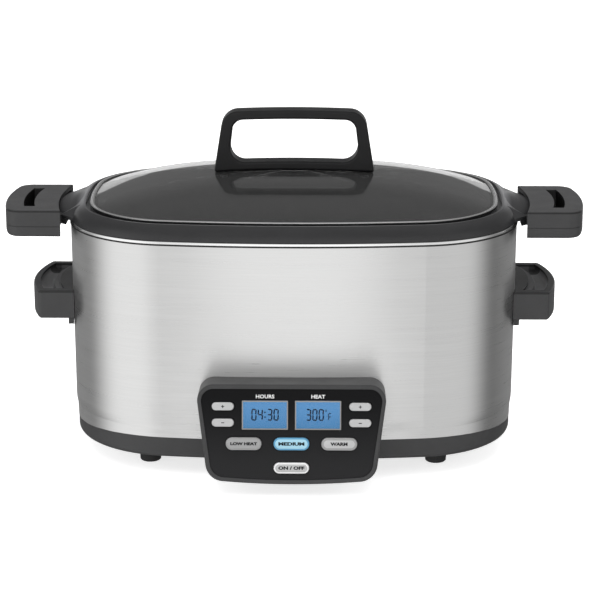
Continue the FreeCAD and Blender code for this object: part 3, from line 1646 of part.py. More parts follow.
def make_cooking_pot():
    body = new_body("cooking_pot")
    neck = rim_bottom - s.rim_sheet / 2
    wall_top = Outline(body, "wall_top", height=neck).oval(BODY_OVAL.inset(pot_wall_inset))
    foot_oval = BODY_OVAL.inset(pot_wall_inset + s.pot_draft)
    wall_foot = Outline(body, "wall_foot", height=pot_bottom).oval(foot_oval)
    fillet(loft([wall_top, wall_foot], ruled=True), s.pot_outer_rounding, level(pot_bottom))
    seat_end = s.rim_seat_inset + s.rim_seat_width
    underside = lid_seat - s.rim_sheet
    points = [
        (0, rim_bottom),
        (0, rim_bottom + s.rim_edge),
        (s.rim_shoulder_inset, rim_top),
        (s.rim_seat_inset, rim_top),
        (s.rim_seat_inset, lid_seat),
        (seat_end, lid_seat),
        (seat_end, neck),
        (pot_wall_inset, neck),
        (pot_wall_inset, underside),
        (s.rim_lip_width, underside),
        (s.rim_lip_width, rim_bottom),
    ]
    ring(body, points, {1: (s.rim_shoulder_radius, True)})
    mouth = Outline(body, "mouth", height=lid_seat).oval(BODY_OVAL.inset(seat_end))
    floor_oval = BODY_OVAL.inset(seat_end + s.pot_draft)
    floor = Outline(body, "floor", height=s.pot_floor_height).oval(floor_oval)
    hollow = loft([mouth, floor], cut=True, ruled=True)
    fillet(hollow, s.pot_inner_rounding, level(s.pot_floor_height))
    add_tongues(body)


def add_tongues(body):
    """Tongues at both ends of the rim. They step down outside the trim ring."""
    plan = Outline(body, "tongues", height=s.tongue_bottom)
    below = Outline(body, "tongue_undersides", "XZ_Plane", height=s.tongue_root_half_width)
    step = s.oval_half_length + s.trim_overhang + s.running_gap * 3
    neck = grip_inner_reach - s.grip_mouth_depth + s.running_gap
    half = s.tongue_half_width
    root_half = s.tongue_root_half_width
    for sign in (-1, 1):
        plan.loop(
            [
                (sign * tongue_root, -1 * root_half),
                (sign * neck, -1 * half),
                (sign * tongue_end, -1 * half),
                (sign * tongue_end, half),
                (sign * neck, half),
                (sign * tongue_root, root_half),
            ]
        )
        below.loop(
            [
                (sign * (tongue_root - 1), s.tongue_bottom - 1),
                (sign * step, s.tongue_bottom - 1),
                (sign * step, rim_bottom),
                (sign * (tongue_root - 1), rim_bottom),
            ]
        )
    pad(plan, s.tongue_thickness)
    pocket(below, s.tongue_root_half_width * 2)
    for sign in (-1, 1):
        add_ramp(body, sign, neck)
    holes = Outline(body, "screw_holes", height=tongue_top)
    holes.circles(corners_of(grip_screw_x, s.grip_screw_y), s.screw_radius + s.running_gap)
    pocket(holes, s.tongue_thickness)


def add_ramp(body, sign, neck):
    """Slope from the rim's shoulder down to one tongue."""
    foot = Outline(body, "ramp_foot", height=tongue_top)
    crest = Outline(body, "ramp_crest", height=s.tongue_crest)
    shoulder = s.oval_half_length - s.tongue_crest_inset
    levels = (
        (foot, s.tongue_root_half_width, neck, s.tongue_half_width),
        (crest, s.tongue_half_width, shoulder, s.tongue_crest_half_width),
    )
    for outline, root_half, end, half in levels:
        outline.loop(
            [
                (sign * tongue_root, -1 * root_half),
                (sign * end, -1 * half),
                (sign * end, half),
                (sign * tongue_root, root_half),
            ]
        )
    loft([foot, crest], ruled=True)


def grip_outline(body, name, height):
    outline = Outline(body, name, height=height)
    inner = (grip_inner_centre, s.grip_inner_radius)
    outer = (grip_outer_centre, s.grip_outer_radius)
    return outline.band(*inner, *outer, s.grip_half_width)


def cut_grip_slot(body, height, depth, downwards):
    inside = grip_slot_reach - grip_outer_centre
    slot = Outline(body, "slot", height=height)
    centre = grip_outer_centre
    slot.band(centre, inside, centre, inside + s.grip_slot_width, s.grip_slot_half_length)
    pocket(slot, depth, downwards=downwards)


def round_grip(solid, radius, height):
    """Round a pot handle's outer corners, then its outer edges at a height."""
    middle = (grip_inner_reach.value + grip_reach.value) / 2
    rounded = fillet(
        solid,
        s.grip_corner_radius,
        lambda edge: upright(edge) and edge.BoundBox.XMin > middle,
    )
    flat = level(height)
    fillet(rounded, radius, lambda edge: flat(edge) and edge.BoundBox.XMax > middle)


def make_grip(label, turned):
    """Upper half of a pot handle, hollowed for the tongue."""
    body = new_body(label, turned=turned)
    thickness = s.grip_top - s.grip_parting
    solid = pad(grip_outline(body, "outline", s.grip_parting), thickness)
    round_grip(solid, s.grip_edge_radius, s.grip_top)
    cut_grip_slot(body, s.grip_top, thickness, downwards=True)
    start = s.oval_half_length
    end = tongue_end + s.running_gap
    depth = tongue_top + s.slip - s.grip_parting
    cavity = Outline(body, "tongue_cavity", height=s.grip_parting)
    width = (s.tongue_half_width + s.running_gap) * 2
    cavity.box((start + end) / 2, as_size(0), end - start, width)
    pocket(cavity, depth, downwards=False)
    mouth_end = grip_inner_reach + s.grip_mouth_depth / 2
    mouth = Outline(body, "mouth", height=s.grip_parting)
    mouth_width = width + s.grip_mouth_depth
    mouth.box((start + mouth_end) / 2, as_size(0), mouth_end - start, mouth_width)
    pocket(mouth, s.grip_mouth_height, downwards=False)
    screw_top = s.grip_bottom + s.grip_counterbore + s.long_screw_length + s.slip
    holes = Outline(body, "screw_holes", height=s.grip_parting)
    places = [(grip_screw_x, sign * s.grip_screw_y) for sign in (-1, 1)]
    holes.circles(places, s.screw_radius + s.slip)
    pocket(holes, screw_top - s.grip_parting, downwards=False)


def make_grip_cap(label, turned):
    """Lower half of a pot handle."""
    body = new_body(label, turned=turned)
    thickness = s.grip_parting - s.slip - s.grip_bottom
    solid = pad(grip_outline(body, "outline", s.grip_bottom), thickness)
    round_grip(solid, s.grip_bottom_radius, s.grip_bottom)
    cut_grip_slot(body, s.grip_bottom, thickness, downwards=False)
    places = [(grip_screw_x, sign * s.grip_screw_y) for sign in (-1, 1)]
    holes = Outline(body, "screw_holes", height=s.grip_bottom)
    holes.circles(places, s.screw_radius + s.slip)
    pocket(holes, thickness, downwards=False)
    counterbores = Outline(body, "counterbores", height=s.grip_bottom)
    counterbores.circles(places, s.screw_head_radius + s.running_gap)
    pocket(counterbores, s.grip_counterbore, downwards=False)


def make_grip_screws():
    body = new_body("pot_handle_screws")
    places = corners_of(grip_screw_x, s.grip_screw_y)
    start = s.grip_bottom + s.grip_counterbore
    head = (s.screw_head_radius, s.screw_head_height)
    screws(body, "XY_Plane", places, start, s.screw_radius, s.long_screw_length, *head)


# ---- lid ----

# Shares of the glass's outline at which its dome is drawn, from the edge to the middle.
DOME_SHARES = (1.0, 0.93, 0.8, 0.6, 0.35, 0.08)


def dome_rows(body, name, oval, base, rise):
    """Outlines of a dome that is steep at its edge and flat in the middle."""
    rows = []
    for share in DOME_SHARES:
        height = base + rise * (1 - as_size(share) ** s.glass_power)
        rows.append(Outline(body, name, height=height).oval(oval.scaled(as_size(share))))
    return rows


def make_lid_glass():
    body = new_body("lid_glass")
    edge = Outline(body, "edge", height=glass_bottom).oval(BODY_OVAL.inset(glass_inset))
    pad(edge, s.glass_edge)
    dome_oval = BODY_OVAL.inset(dome_inset)
    loft(dome_rows(body, "dome", dome_oval, glass_shoulder, s.glass_rise))
    hollow_oval = BODY_OVAL.inset(hollow_inset)
    loft(dome_rows(body, "hollow", hollow_oval, glass_bottom, hollow_rise), cut=True)
    holes = Outline(body, "screw_holes", height=glass_top)
    places = [(sign * s.knob_screw_x, 0) for sign in (-1, 1)]
    holes.circles(places, s.screw_radius + s.running_gap)
    pocket(holes, s.glass_rise)


def make_lid_ring():
    body = new_body("lid_ring")
    outside = s.lid_ring_inset
    sheet = s.lid_ring_sheet
    top = lid_ring_bottom + s.lid_ring_height
    points = [
        (outside, lid_ring_bottom),
        (outside, top),
        (outside + s.lid_ring_lip, top),
        (outside + s.lid_ring_lip, top - sheet),
        (outside + sheet, top - sheet),
        (outside + sheet, lid_ring_bottom + sheet),
        (outside + s.lid_ring_ledge, lid_ring_bottom + sheet),
        (outside + s.lid_ring_ledge, lid_ring_bottom),
    ]
    ring(body, points)


upper_washer_bottom = dome_height(s.knob_screw_x - s.washer_radius) + s.slip / 2
lower_washer_top = hollow_height(s.knob_screw_x + s.washer_radius) - s.slip / 2
lid_screw_start = lower_washer_top - s.washer_thickness


def make_lid_handle():
    body = new_body("lid_handle")
    top = glass_top + s.knob_height
    low = knob_bottom - bow_sag(s.knob_bow_radius, s.knob_foot_half_width)
    foot = s.knob_foot_half_width
    side = s.knob_top_half_width
    outline = Outline(body, "outline", "XZ_Plane", height=s.knob_depth / 2)
    high = top - bow_sag(s.knob_bow_radius, side)
    corners = [(-1 * foot, low), (foot, low), (side, high), (-1 * side, high)]
    radii = [s.knob_foot_rounding] * 2 + [s.knob_top_radius] * 2
    outline.rounded(corners, radii, s.knob_bow_radius, hollow=True)
    pad(outline, s.knob_depth, upwards=False)
    window_low = knob_bottom + s.knob_bar - bow_sag(s.knob_bow_radius, s.knob_window_foot)
    foot = s.knob_window_foot
    side = s.knob_window_top
    window_high = top - s.knob_grip_bar - bow_sag(s.knob_bow_radius, side)
    corners = [
        (-1 * foot, window_low),
        (foot, window_low),
        (side, window_high),
        (-1 * side, window_high),
    ]
    radii = [s.knob_window_foot_radius] * 2 + [s.knob_window_top_radius] * 2
    window = Outline(body, "window", "XZ_Plane", height=s.knob_depth / 2)
    window.rounded(corners, radii, s.knob_bow_radius, hollow=True)
    opened = pocket(window, s.knob_depth)
    face = s.knob_depth.value / 2
    fillet(
        opened,
        s.knob_edge_radius,
        lambda edge: abs(abs(edge.BoundBox.YMin) - face) < NEAR and edge.BoundBox.YLength < NEAR,
    )
    places = [(sign * s.knob_screw_x, 0) for sign in (-1, 1)]
    holes = Outline(body, "screw_holes", height=low)
    screw_top = lid_screw_start + s.long_screw_length + s.slip
    pocket(holes.circles(places, s.screw_radius + s.slip), screw_top - low, downwards=False)
    seats = Outline(body, "washer_seats", height=low)
    seats.circles(places, s.washer_radius + s.slip)
    seat_top = upper_washer_bottom + s.washer_thickness + s.slip
    pocket(seats, seat_top - low, downwards=False)


def make_lid_washers():
    """Silicone washers above and below the glass at each handle screw."""
    body = new_body("lid_handle_washers")
    places = [(sign * s.knob_screw_x, 0) for sign in (-1, 1)]
    for bottom in (lid_screw_start, upper_washer_bottom):
        washers = Outline(body, "washers", height=bottom).circles(places, s.washer_radius)
        pad(washers, s.washer_thickness)
        holes = Outline(body, "holes", height=bottom)
        holes.circles(places, s.screw_radius + s.slip)
        pocket(holes, s.washer_thickness, downwards=False)


def make_lid_screws():
    body = new_body("lid_handle_screws")
    places = [(sign * s.knob_screw_x, 0) for sign in (-1, 1)]
    head = (s.screw_head_radius, s.screw_head_height)
    shank = (s.screw_radius, s.long_screw_length)
    screws(body, "XY_Plane", places, lid_screw_start, *shank, *head)


# ---- build ----


def build():
    make_base_tray()
    make_feet()
    make_cord_gland()
    make_support_posts()
    make_base_screws()
    make_housing_shell()
    make_trim_ring()
    make_heating_liner()
    make_insulation_blanket()
    make_heat_shield()
    make_hot_plate()
    make_heating_element()
    make_thermal_fuse()
    make_sensor_holder()
    make_sensor_plunger()
    make_sensor_spring()
    for side, turned in (("left", True), ("right", False)):
        make_lug(side + "_housing_handle", turned)
        make_lug_plate(side + "_handle_plate", turned)
        make_grip(side + "_pot_handle", turned)
        make_grip_cap(side + "_pot_handle_cap", turned)
    make_lug_screws()
    make_grip_screws()
    make_panel_housing()
    make_panel_screws()
    make_fascia()
    for name, sign in LENSES:
        make_lens(name, sign)
        make_display(name, sign)
    make_control_board()
    make_control_board_screws()
    make_button_switches()
    for label, x, y, (length, height) in BUTTONS:
        make_button(label, x, y, length, height)
    make_power_board()
    make_power_board_screws()
    make_relay()
    make_transformer()
    make_terminal_block()
    make_heater_leads()
    make_ribbon_cable()
    make_cooking_pot()
    make_lid_glass()
    make_lid_ring()
    make_lid_handle()
    make_lid_washers()
    make_lid_screws()
    doc.recompute()


def check():
    """Stop if anything failed to build, or if a cut removed nothing."""
    faults = []
    for thing in doc.Objects:
        if "Invalid" in thing.State or "Error" in thing.State:
            faults.append("%s (%s) failed" % (thing.Name, thing.Label))
    for cut in CUTS:
        if not faults and cut.Shape.Volume > cut.BaseFeature.Shape.Volume - NEAR:
            owner = cut.getParentGeoFeatureGroup().Label
            faults.append("%s in %s cuts nothing" % (cut.Name, owner))
    for part in PARTS:
        if part.Shape.isNull() or not part.Shape.isValid() or not part.Shape.Solids:
            faults.append("%s has no valid shape" % part.Label)
    if faults:
        raise RuntimeError("; ".join(faults))


def export():
    os.makedirs("parts", exist_ok=True)
    for part in PARTS:
        part.Shape.exportStep(os.path.join("parts", part.Label + ".step"))


build()
check()
export()
for part in PARTS:
    size = part.Shape.BoundBox
    print("%-26s %2d solids %10.1f mm3" % (part.Label, len(part.Shape.Solids), part.Shape.Volume))
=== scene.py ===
"""An oval countertop slow cooker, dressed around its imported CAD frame.

The frame gives every solid of the cooker in its own place. This script gives each of them a
procedural finish and models the small parts that belong to the looks: the rounded ring of the lid,
the shoulders of the pot, the shell's rolled edge, the display digits and window frames, the button
pads and the printed words. Then it sets up the studio. Lengths are in metres, in the frame's own
axes: x to the right, y to the back, z up.
"""

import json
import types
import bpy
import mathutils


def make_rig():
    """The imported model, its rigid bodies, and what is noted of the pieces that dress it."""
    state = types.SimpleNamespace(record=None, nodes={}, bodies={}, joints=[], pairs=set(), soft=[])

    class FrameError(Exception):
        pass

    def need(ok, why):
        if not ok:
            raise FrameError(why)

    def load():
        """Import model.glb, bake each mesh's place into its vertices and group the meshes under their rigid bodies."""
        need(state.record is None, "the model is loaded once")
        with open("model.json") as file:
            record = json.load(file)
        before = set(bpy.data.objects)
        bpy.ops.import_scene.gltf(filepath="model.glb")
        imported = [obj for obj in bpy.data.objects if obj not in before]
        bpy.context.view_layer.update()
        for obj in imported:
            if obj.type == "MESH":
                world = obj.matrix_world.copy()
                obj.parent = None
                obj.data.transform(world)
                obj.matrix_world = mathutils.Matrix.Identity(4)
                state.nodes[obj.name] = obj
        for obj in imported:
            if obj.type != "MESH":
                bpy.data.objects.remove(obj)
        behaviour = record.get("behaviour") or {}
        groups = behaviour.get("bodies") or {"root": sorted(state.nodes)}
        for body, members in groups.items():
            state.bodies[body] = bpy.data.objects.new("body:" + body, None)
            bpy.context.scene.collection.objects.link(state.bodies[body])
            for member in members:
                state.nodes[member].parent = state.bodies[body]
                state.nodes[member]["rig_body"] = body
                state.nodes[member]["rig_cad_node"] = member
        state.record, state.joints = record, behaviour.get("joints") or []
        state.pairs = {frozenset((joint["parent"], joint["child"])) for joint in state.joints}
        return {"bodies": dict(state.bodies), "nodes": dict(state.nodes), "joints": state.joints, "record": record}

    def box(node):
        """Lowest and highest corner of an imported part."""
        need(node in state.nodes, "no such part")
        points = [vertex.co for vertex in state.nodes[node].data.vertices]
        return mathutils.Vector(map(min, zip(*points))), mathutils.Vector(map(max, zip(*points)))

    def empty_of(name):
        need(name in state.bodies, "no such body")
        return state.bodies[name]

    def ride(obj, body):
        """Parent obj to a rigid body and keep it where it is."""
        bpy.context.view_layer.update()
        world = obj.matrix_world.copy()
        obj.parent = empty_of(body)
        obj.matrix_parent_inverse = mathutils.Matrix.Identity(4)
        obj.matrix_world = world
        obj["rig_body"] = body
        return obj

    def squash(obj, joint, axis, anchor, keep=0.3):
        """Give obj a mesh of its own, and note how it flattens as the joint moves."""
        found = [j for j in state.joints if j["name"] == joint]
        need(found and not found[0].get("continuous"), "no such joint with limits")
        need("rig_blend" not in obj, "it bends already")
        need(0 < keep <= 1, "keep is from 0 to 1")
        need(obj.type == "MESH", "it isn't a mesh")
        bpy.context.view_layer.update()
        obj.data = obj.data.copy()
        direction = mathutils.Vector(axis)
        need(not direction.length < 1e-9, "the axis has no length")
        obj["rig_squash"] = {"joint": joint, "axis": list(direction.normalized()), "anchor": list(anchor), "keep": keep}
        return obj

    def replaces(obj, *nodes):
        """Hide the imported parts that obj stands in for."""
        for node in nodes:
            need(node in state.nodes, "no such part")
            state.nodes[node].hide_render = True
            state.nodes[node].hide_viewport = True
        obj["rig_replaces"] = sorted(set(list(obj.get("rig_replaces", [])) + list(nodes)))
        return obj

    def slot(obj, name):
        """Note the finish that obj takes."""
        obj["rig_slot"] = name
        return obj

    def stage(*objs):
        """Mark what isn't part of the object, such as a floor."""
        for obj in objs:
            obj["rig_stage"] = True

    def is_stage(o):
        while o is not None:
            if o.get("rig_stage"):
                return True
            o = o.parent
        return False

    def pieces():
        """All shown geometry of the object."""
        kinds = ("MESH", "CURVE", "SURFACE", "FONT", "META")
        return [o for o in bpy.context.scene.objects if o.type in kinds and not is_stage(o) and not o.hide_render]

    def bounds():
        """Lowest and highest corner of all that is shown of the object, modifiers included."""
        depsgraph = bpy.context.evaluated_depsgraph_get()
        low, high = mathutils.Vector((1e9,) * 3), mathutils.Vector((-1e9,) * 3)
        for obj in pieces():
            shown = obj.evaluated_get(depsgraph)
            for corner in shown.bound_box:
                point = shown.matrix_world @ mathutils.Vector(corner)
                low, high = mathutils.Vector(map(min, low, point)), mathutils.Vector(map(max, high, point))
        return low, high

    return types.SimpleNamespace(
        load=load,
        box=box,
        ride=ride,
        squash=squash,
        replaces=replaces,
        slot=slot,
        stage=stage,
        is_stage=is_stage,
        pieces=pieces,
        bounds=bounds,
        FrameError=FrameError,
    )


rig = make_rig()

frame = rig.load()
CAD_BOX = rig.bounds()

import json
import logging
import math
from collections.abc import Callable
from dataclasses import dataclass, field
from enum import Enum

import bpy
from mathutils import Matrix, Vector

LOG = logging.getLogger("slow_cooker")
SIZE_FILE = "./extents.json"
MM = 0.001

# The middle of the oval along y, which the shell, the pot and the lid share.
MIDDLE = 0.0177

# Most of what a noise node gives lies between these two values.
NOISE_LOW = 0.3
NOISE_HIGH = 0.7

Triple = tuple[float, float, float]
Colour = Triple
Range = tuple[float, float]
Socket = bpy.types.NodeSocket
Inputs = dict[str | int, object]


# ---------------------------------------------------------------------------------------------
# Node recipes
# ---------------------------------------------------------------------------------------------


class Recipe:
    """The node tree of one material or of the world, with short ways to add and join nodes."""

    def __init__(self, tree: bpy.types.NodeTree) -> None:
        """Empties a node tree and keeps it.

        Args:
            tree: the node tree to fill.
        """
        self.tree = tree
        self.tree.nodes.clear()

    def node(self, kind: str, inputs: Inputs, **settings: object) -> bpy.types.Node:
        """Adds a node.

        Args:
            kind: the node's type name.
            inputs: what goes into its inputs, by their names or numbers.
            settings: properties of the node to set.

        Returns:
            The new node.
        """
        made = self.tree.nodes.new(kind)
        for name, value in settings.items():
            setattr(made, name, value)
        for name, value in inputs.items():
            self.feed(made.inputs[name], value)
        return made

    def feed(self, target: Socket, value: object) -> None:
        """Joins a socket to another, or sets its own value.

        Args:
            target: the input socket.
            value: an output socket, a number, a vector or a colour.
        """
        if isinstance(value, bpy.types.NodeSocket):
            self.tree.links.new(value, target)
        elif hasattr(value, "__len__") and len(value) == 3 and len(target.default_value) == 4:
            target.default_value = (*value, 1.0)
        else:
            target.default_value = value

    def place(self) -> Socket:
        """Gives the object coordinates, in metres."""
        return self.node("ShaderNodeTexCoord", {}).outputs["Object"]

    def axis(self, letter: str, vector: Socket | None = None) -> Socket:
        """Gives one part of a vector, by its letter, or of the object coordinates."""
        inputs = {"Vector": self.place() if vector is None else vector}
        return self.node("ShaderNodeSeparateXYZ", inputs).outputs[letter]

    def stretch(self, scale: float | Triple, turn: Triple = (0.0, 0.0, 0.0)) -> Socket:
        """Gives object coordinates that are scaled.

        Args:
            scale: how many pattern units go into a metre, one number or one for each axis.
            turn: the pattern's turn about each axis, in radians.

        Returns:
            The scaled coordinates.
        """
        along = (scale,) * 3 if isinstance(scale, float) else scale
        inputs = {"Vector": self.place(), "Scale": along, "Rotation": turn}
        return self.node("ShaderNodeMapping", inputs).outputs["Vector"]

    def noise(self, scale: float | Triple, detail: float = 3.0, rough: float = 0.55,
              turn: Triple = (0.0, 0.0, 0.0)) -> Socket:
        """Gives soft noise.

        Args:
            scale: how many of its patches go into a metre, one number or one for each axis.
            detail: how many finer layers it has.
            rough: how strong the finer layers are.
            turn: its turn about each axis, in radians.

        Returns:
            The noise, from 0 to 1.
        """
        inputs = {"Vector": self.stretch(scale, turn), "Scale": 1.0, "Detail": detail, "Roughness": rough}
        return self.node("ShaderNodeTexNoise", inputs).outputs["Fac"]

    def cells(self, scale: float) -> Socket:
        """Gives the distance to the nearest of scattered points, of which scale go into a metre."""
        inputs = {"Vector": self.stretch(scale), "Scale": 1.0}
        return self.node("ShaderNodeTexVoronoi", inputs).outputs["Distance"]

    def span(self, value: Socket, low: float, high: float, to_low: float, to_high: float,
             soft: bool = False) -> Socket:
        """Maps a range onto another and holds its ends.

        Args:
            value: the number to map.
            low: the input range's start.
            high: the input range's end.
            to_low: what the start becomes.
            to_high: what the end becomes.
            soft: whether the change eases in and out.

        Returns:
            The mapped number.
        """
        inputs = {"Value": value, "From Min": low, "From Max": high, "To Min": to_low, "To Max": to_high}
        easing = "SMOOTHSTEP" if soft else "LINEAR"
        return self.node("ShaderNodeMapRange", inputs, interpolation_type=easing).outputs["Result"]

    def rise(self, value: Socket, low: float, high: float, soft: bool = False) -> Socket:
        """Goes from 0 to 1 over a range."""
        return self.span(value, low, high, 0.0, 1.0, soft)

    def fall(self, value: Socket, low: float, high: float, soft: bool = False) -> Socket:
        """Goes from 1 to 0 over a range."""
        return self.span(value, low, high, 1.0, 0.0, soft)

    def swing(self, noise: Socket, to_low: float, to_high: float) -> Socket:
        """Maps the range in which noise mostly lies onto another."""
        return self.span(noise, NOISE_LOW, NOISE_HIGH, to_low, to_high)

    def sum(self, operation: str, first: object, *others: object) -> Socket:
        """Does a sum on one number or on several, from the first to the last.

        Args:
            operation: the Math node's name for it.
            first: the first number or socket.
            others: the numbers or sockets that follow, if any.

        Returns:
            The result.
        """
        result = first
        for other in others or (0.0,):
            result = self.node("ShaderNodeMath", {0: result, 1: other}, operation=operation).outputs["Value"]
        return result

    def between(self, share: Socket, first: object, second: object) -> Socket:
        """Goes from one number to another.

        Args:
            share: how much of the second number counts, from 0 to 1.
            first: the first number or socket.
            second: the second number or socket.

        Returns:
            The number between them.
        """
        rest = self.sum("SUBTRACT", 1.0, share)
        return self.sum("ADD", self.sum("MULTIPLY", second, share), self.sum("MULTIPLY", first, rest))

    def colours(self, share: object, first: object, second: object) -> Socket:
        """Mixes two colours.

        Args:
            share: how much of the second one shows, from 0 to 1.
            first: the first colour or socket.
            second: the second colour or socket.

        Returns:
            The mixed colour.
        """
        inputs = {0: share, 6: first, 7: second}
        return self.node("ShaderNodeMix", inputs, data_type="RGBA").outputs[2]

    def bump(self, height: Socket, depth: float, strength: float = 0.5) -> Socket:
        """Turns a height into a bumped normal.

        Args:
            height: the height, from 0 to 1.
            depth: the real depth of the relief in metres.
            strength: how much of it shows.

        Returns:
            The normal.
        """
        inputs = {"Strength": strength, "Distance": depth, "Height": height}
        return self.node("ShaderNodeBump", inputs).outputs["Normal"]

    def rays(self) -> tuple[Socket, Socket]:
        """Tells what kind of ray looks.

        Returns:
            1 for a ray straight from the camera, and 1 for one that was mirrored or went through glass.
        """
        paths = self.node("ShaderNodeLightPath", {})
        mirrored = self.sum("MAXIMUM", paths.outputs["Is Glossy Ray"], paths.outputs["Is Transmission Ray"])
        return paths.outputs["Is Camera Ray"], mirrored


# ---------------------------------------------------------------------------------------------
# Finishes
# ---------------------------------------------------------------------------------------------


def grey(level: float) -> Colour:
    """Gives a neutral colour."""
    return (level, level, level)


@dataclass(frozen=True)
class Finish:
    """A procedural finish. Each kind says in its paint method what feeds the shader."""

    name: str
    colour: Colour
    roughness: float = 0.5

    def paint(self, recipe: Recipe) -> Inputs:
        """Gives what feeds the shader; each kind of finish has its own."""
        raise NotImplementedError

    def material(self) -> bpy.types.Material:
        """Makes the material, or gives the one made before.

        Returns:
            The material of this finish.
        """
        title = "finish_" + self.name
        found = bpy.data.materials.get(title)
        if found is not None:
            return found
        made = bpy.data.materials.new(title)
        made.use_nodes = True
        made.diffuse_color = (*self.colour, 1.0)
        recipe = Recipe(made.node_tree)
        inputs = {"Base Color": self.colour, "Roughness": self.roughness, **self.paint(recipe)}
        shader = recipe.node("ShaderNodeBsdfPrincipled", inputs)
        recipe.node("ShaderNodeOutputMaterial", {"Surface": shader.outputs["BSDF"]})
        return made

    def shade(self, factor: float) -> Colour:
        """Gives this finish's colour, made darker or lighter by a factor."""
        return tuple(min(part * factor, 1.0) for part in self.colour)

    def around(self, uneven: Range) -> Range:
        """Gives a range about the finish's roughness."""
        return self.roughness + uneven[0], self.roughness + uneven[1]


@dataclass(frozen=True)
class BrushedSteel(Finish):
    """Sheet steel brushed along the horizontal, with a less metallic patch low on its front that reads paler: painted
    light against the control panel's dark reflection.
    """

    fine_streaks: Triple = (26.0, 26.0, 1900.0)
    broad_streaks: Triple = (7.0, 7.0, 240.0)
    clouds: Triple = (9.0, 9.0, 16.0)
    fine_share: float = 0.62
    cloud_share: float = 0.3
    cloud_tone: float = 0.95
    tones: Range = (0.93, 1.06)
    uneven: Range = (-0.05, 0.06)
    anisotropy: float = 0.75
    streak_depth: float = 0.000014
    satin_top: Range = (0.082, 0.112)
    satin_side: Range = (0.058, 0.088)
    satin_front: Range = (-0.06, -0.05)
    satin_metal: float = 0.42

    def satin(self, recipe: Recipe) -> Socket:
        """Gives the patch that is made less metallic, as painted light where the panel's reflection darkens the shell.

        Args:
            recipe: the material's node tree.

        Returns:
            The share of the patch, from 0 to 1.
        """
        side = recipe.sum("ABSOLUTE", recipe.axis("X"))
        low = recipe.fall(recipe.axis("Z"), *self.satin_top, soft=True)
        near = recipe.fall(side, *self.satin_side, soft=True)
        front = recipe.fall(recipe.axis("Y"), *self.satin_front)
        return recipe.sum("MULTIPLY", low, near, front)

    def paint(self, recipe: Recipe) -> Inputs:
        """Makes fine and broad streaks, and the patch of painted light.

        Args:
            recipe: the material's node tree.

        Returns:
            What feeds the shader.
        """
        fine = recipe.noise(self.fine_streaks, detail=4.0, rough=0.7)
        broad = recipe.noise(self.broad_streaks)
        cloud = recipe.noise(self.clouds, detail=2.0)
        streak = recipe.sum("ADD", recipe.sum("MULTIPLY", fine, self.fine_share),
                            recipe.sum("MULTIPLY", broad, 1.0 - self.fine_share))
        steel = recipe.colours(recipe.swing(streak, 0.0, 1.0), *map(self.shade, self.tones))
        upright = recipe.node("ShaderNodeCombineXYZ", {"Z": 1.0})
        return {
            "Base Color": recipe.colours(recipe.swing(cloud, 0.0, self.cloud_share), steel,
                                         self.shade(self.cloud_tone)),
            # The patch reads paler with less metal: painted light against the panel's reflection.
            "Metallic": recipe.span(self.satin(recipe), 0.0, 1.0, 1.0, self.satin_metal),
            "Roughness": recipe.swing(streak, *self.around(self.uneven)),
            "Anisotropic": self.anisotropy,
            "Tangent": upright.outputs["Vector"],
            "Normal": recipe.bump(streak, self.streak_depth),
        }


@dataclass(frozen=True)
class Metal(Finish):
    """Plain metal: polished, plated or cast, with faint mottling and fine scratches."""

    mottle_size: float = 0.012
    mottle: float = 0.08
    grain_size: float = 0.0006
    grain_depth: float = 0.0
    wear: float = 0.04
    scratches: Triple = (1500.0, 60.0, 900.0)
    scratch_swing: Range = (0.35, 0.7)
    dark: float = 0.8

    def paint(self, recipe: Recipe) -> Inputs:
        """Makes mottling and scratches, and a grain where the metal has one.

        Args:
            recipe: the material's node tree.

        Returns:
            What feeds the shader.
        """
        patch = recipe.noise(1 / self.mottle_size)
        scratch = recipe.noise(self.scratches, detail=2.0, rough=0.7)
        tone = recipe.swing(patch, 1.0 - self.mottle, 1.0)
        rough = recipe.sum("ADD", recipe.swing(patch, -0.5 * self.wear, 0.5 * self.wear),
                           recipe.span(scratch, *self.scratch_swing, *self.around((0.0, self.wear))))
        inputs = {
            "Base Color": recipe.colours(tone, self.shade(self.dark), self.colour),
            "Metallic": 1.0,
            "Roughness": rough,
        }
        if self.grain_depth:
            grain = recipe.noise(1 / self.grain_size, detail=2.0)
            inputs["Normal"] = recipe.bump(grain, self.grain_depth, strength=0.8)
        return inputs


@dataclass(frozen=True)
class Plastic(Finish):
    """Moulded plastic, rubber or paint: an even colour over a fine eroded grain."""

    grain_size: float = 0.0005
    grain_depth: float = 0.00003
    patches: float = 55.0
    patch_share: float = 0.6
    mottle: float = 0.12
    tone_swing: Range = (0.2, 0.8)
    uneven: Range = (0.03, -0.03)
    specular: float = 0.5

    def paint(self, recipe: Recipe) -> Inputs:
        """Makes the grain and a faint mottling.

        Args:
            recipe: the material's node tree.

        Returns:
            What feeds the shader.
        """
        grain = recipe.noise(1 / self.grain_size, detail=2.0, rough=0.6)
        patch = recipe.noise(self.patches, detail=4.0, rough=0.6)
        tone = recipe.sum("ADD", recipe.swing(patch, 0.0, self.patch_share),
                          recipe.swing(grain, 0.0, 1.0 - self.patch_share))
        even = recipe.colours(tone, self.shade(1.0 - self.mottle), self.shade(1.0 + self.mottle))
        return {
            "Base Color": self.worn(recipe, even),
            "Roughness": recipe.span(tone, *self.tone_swing, *self.around(self.uneven)),
            "Specular IOR Level": self.specular,
            "Normal": recipe.bump(grain, self.grain_depth, strength=0.7),
        }

    def worn(self, recipe: Recipe, even: Socket) -> Socket:
        """Gives the colour with its zones of painted light and shade and its parting lines; plain plastic has none."""
        return even


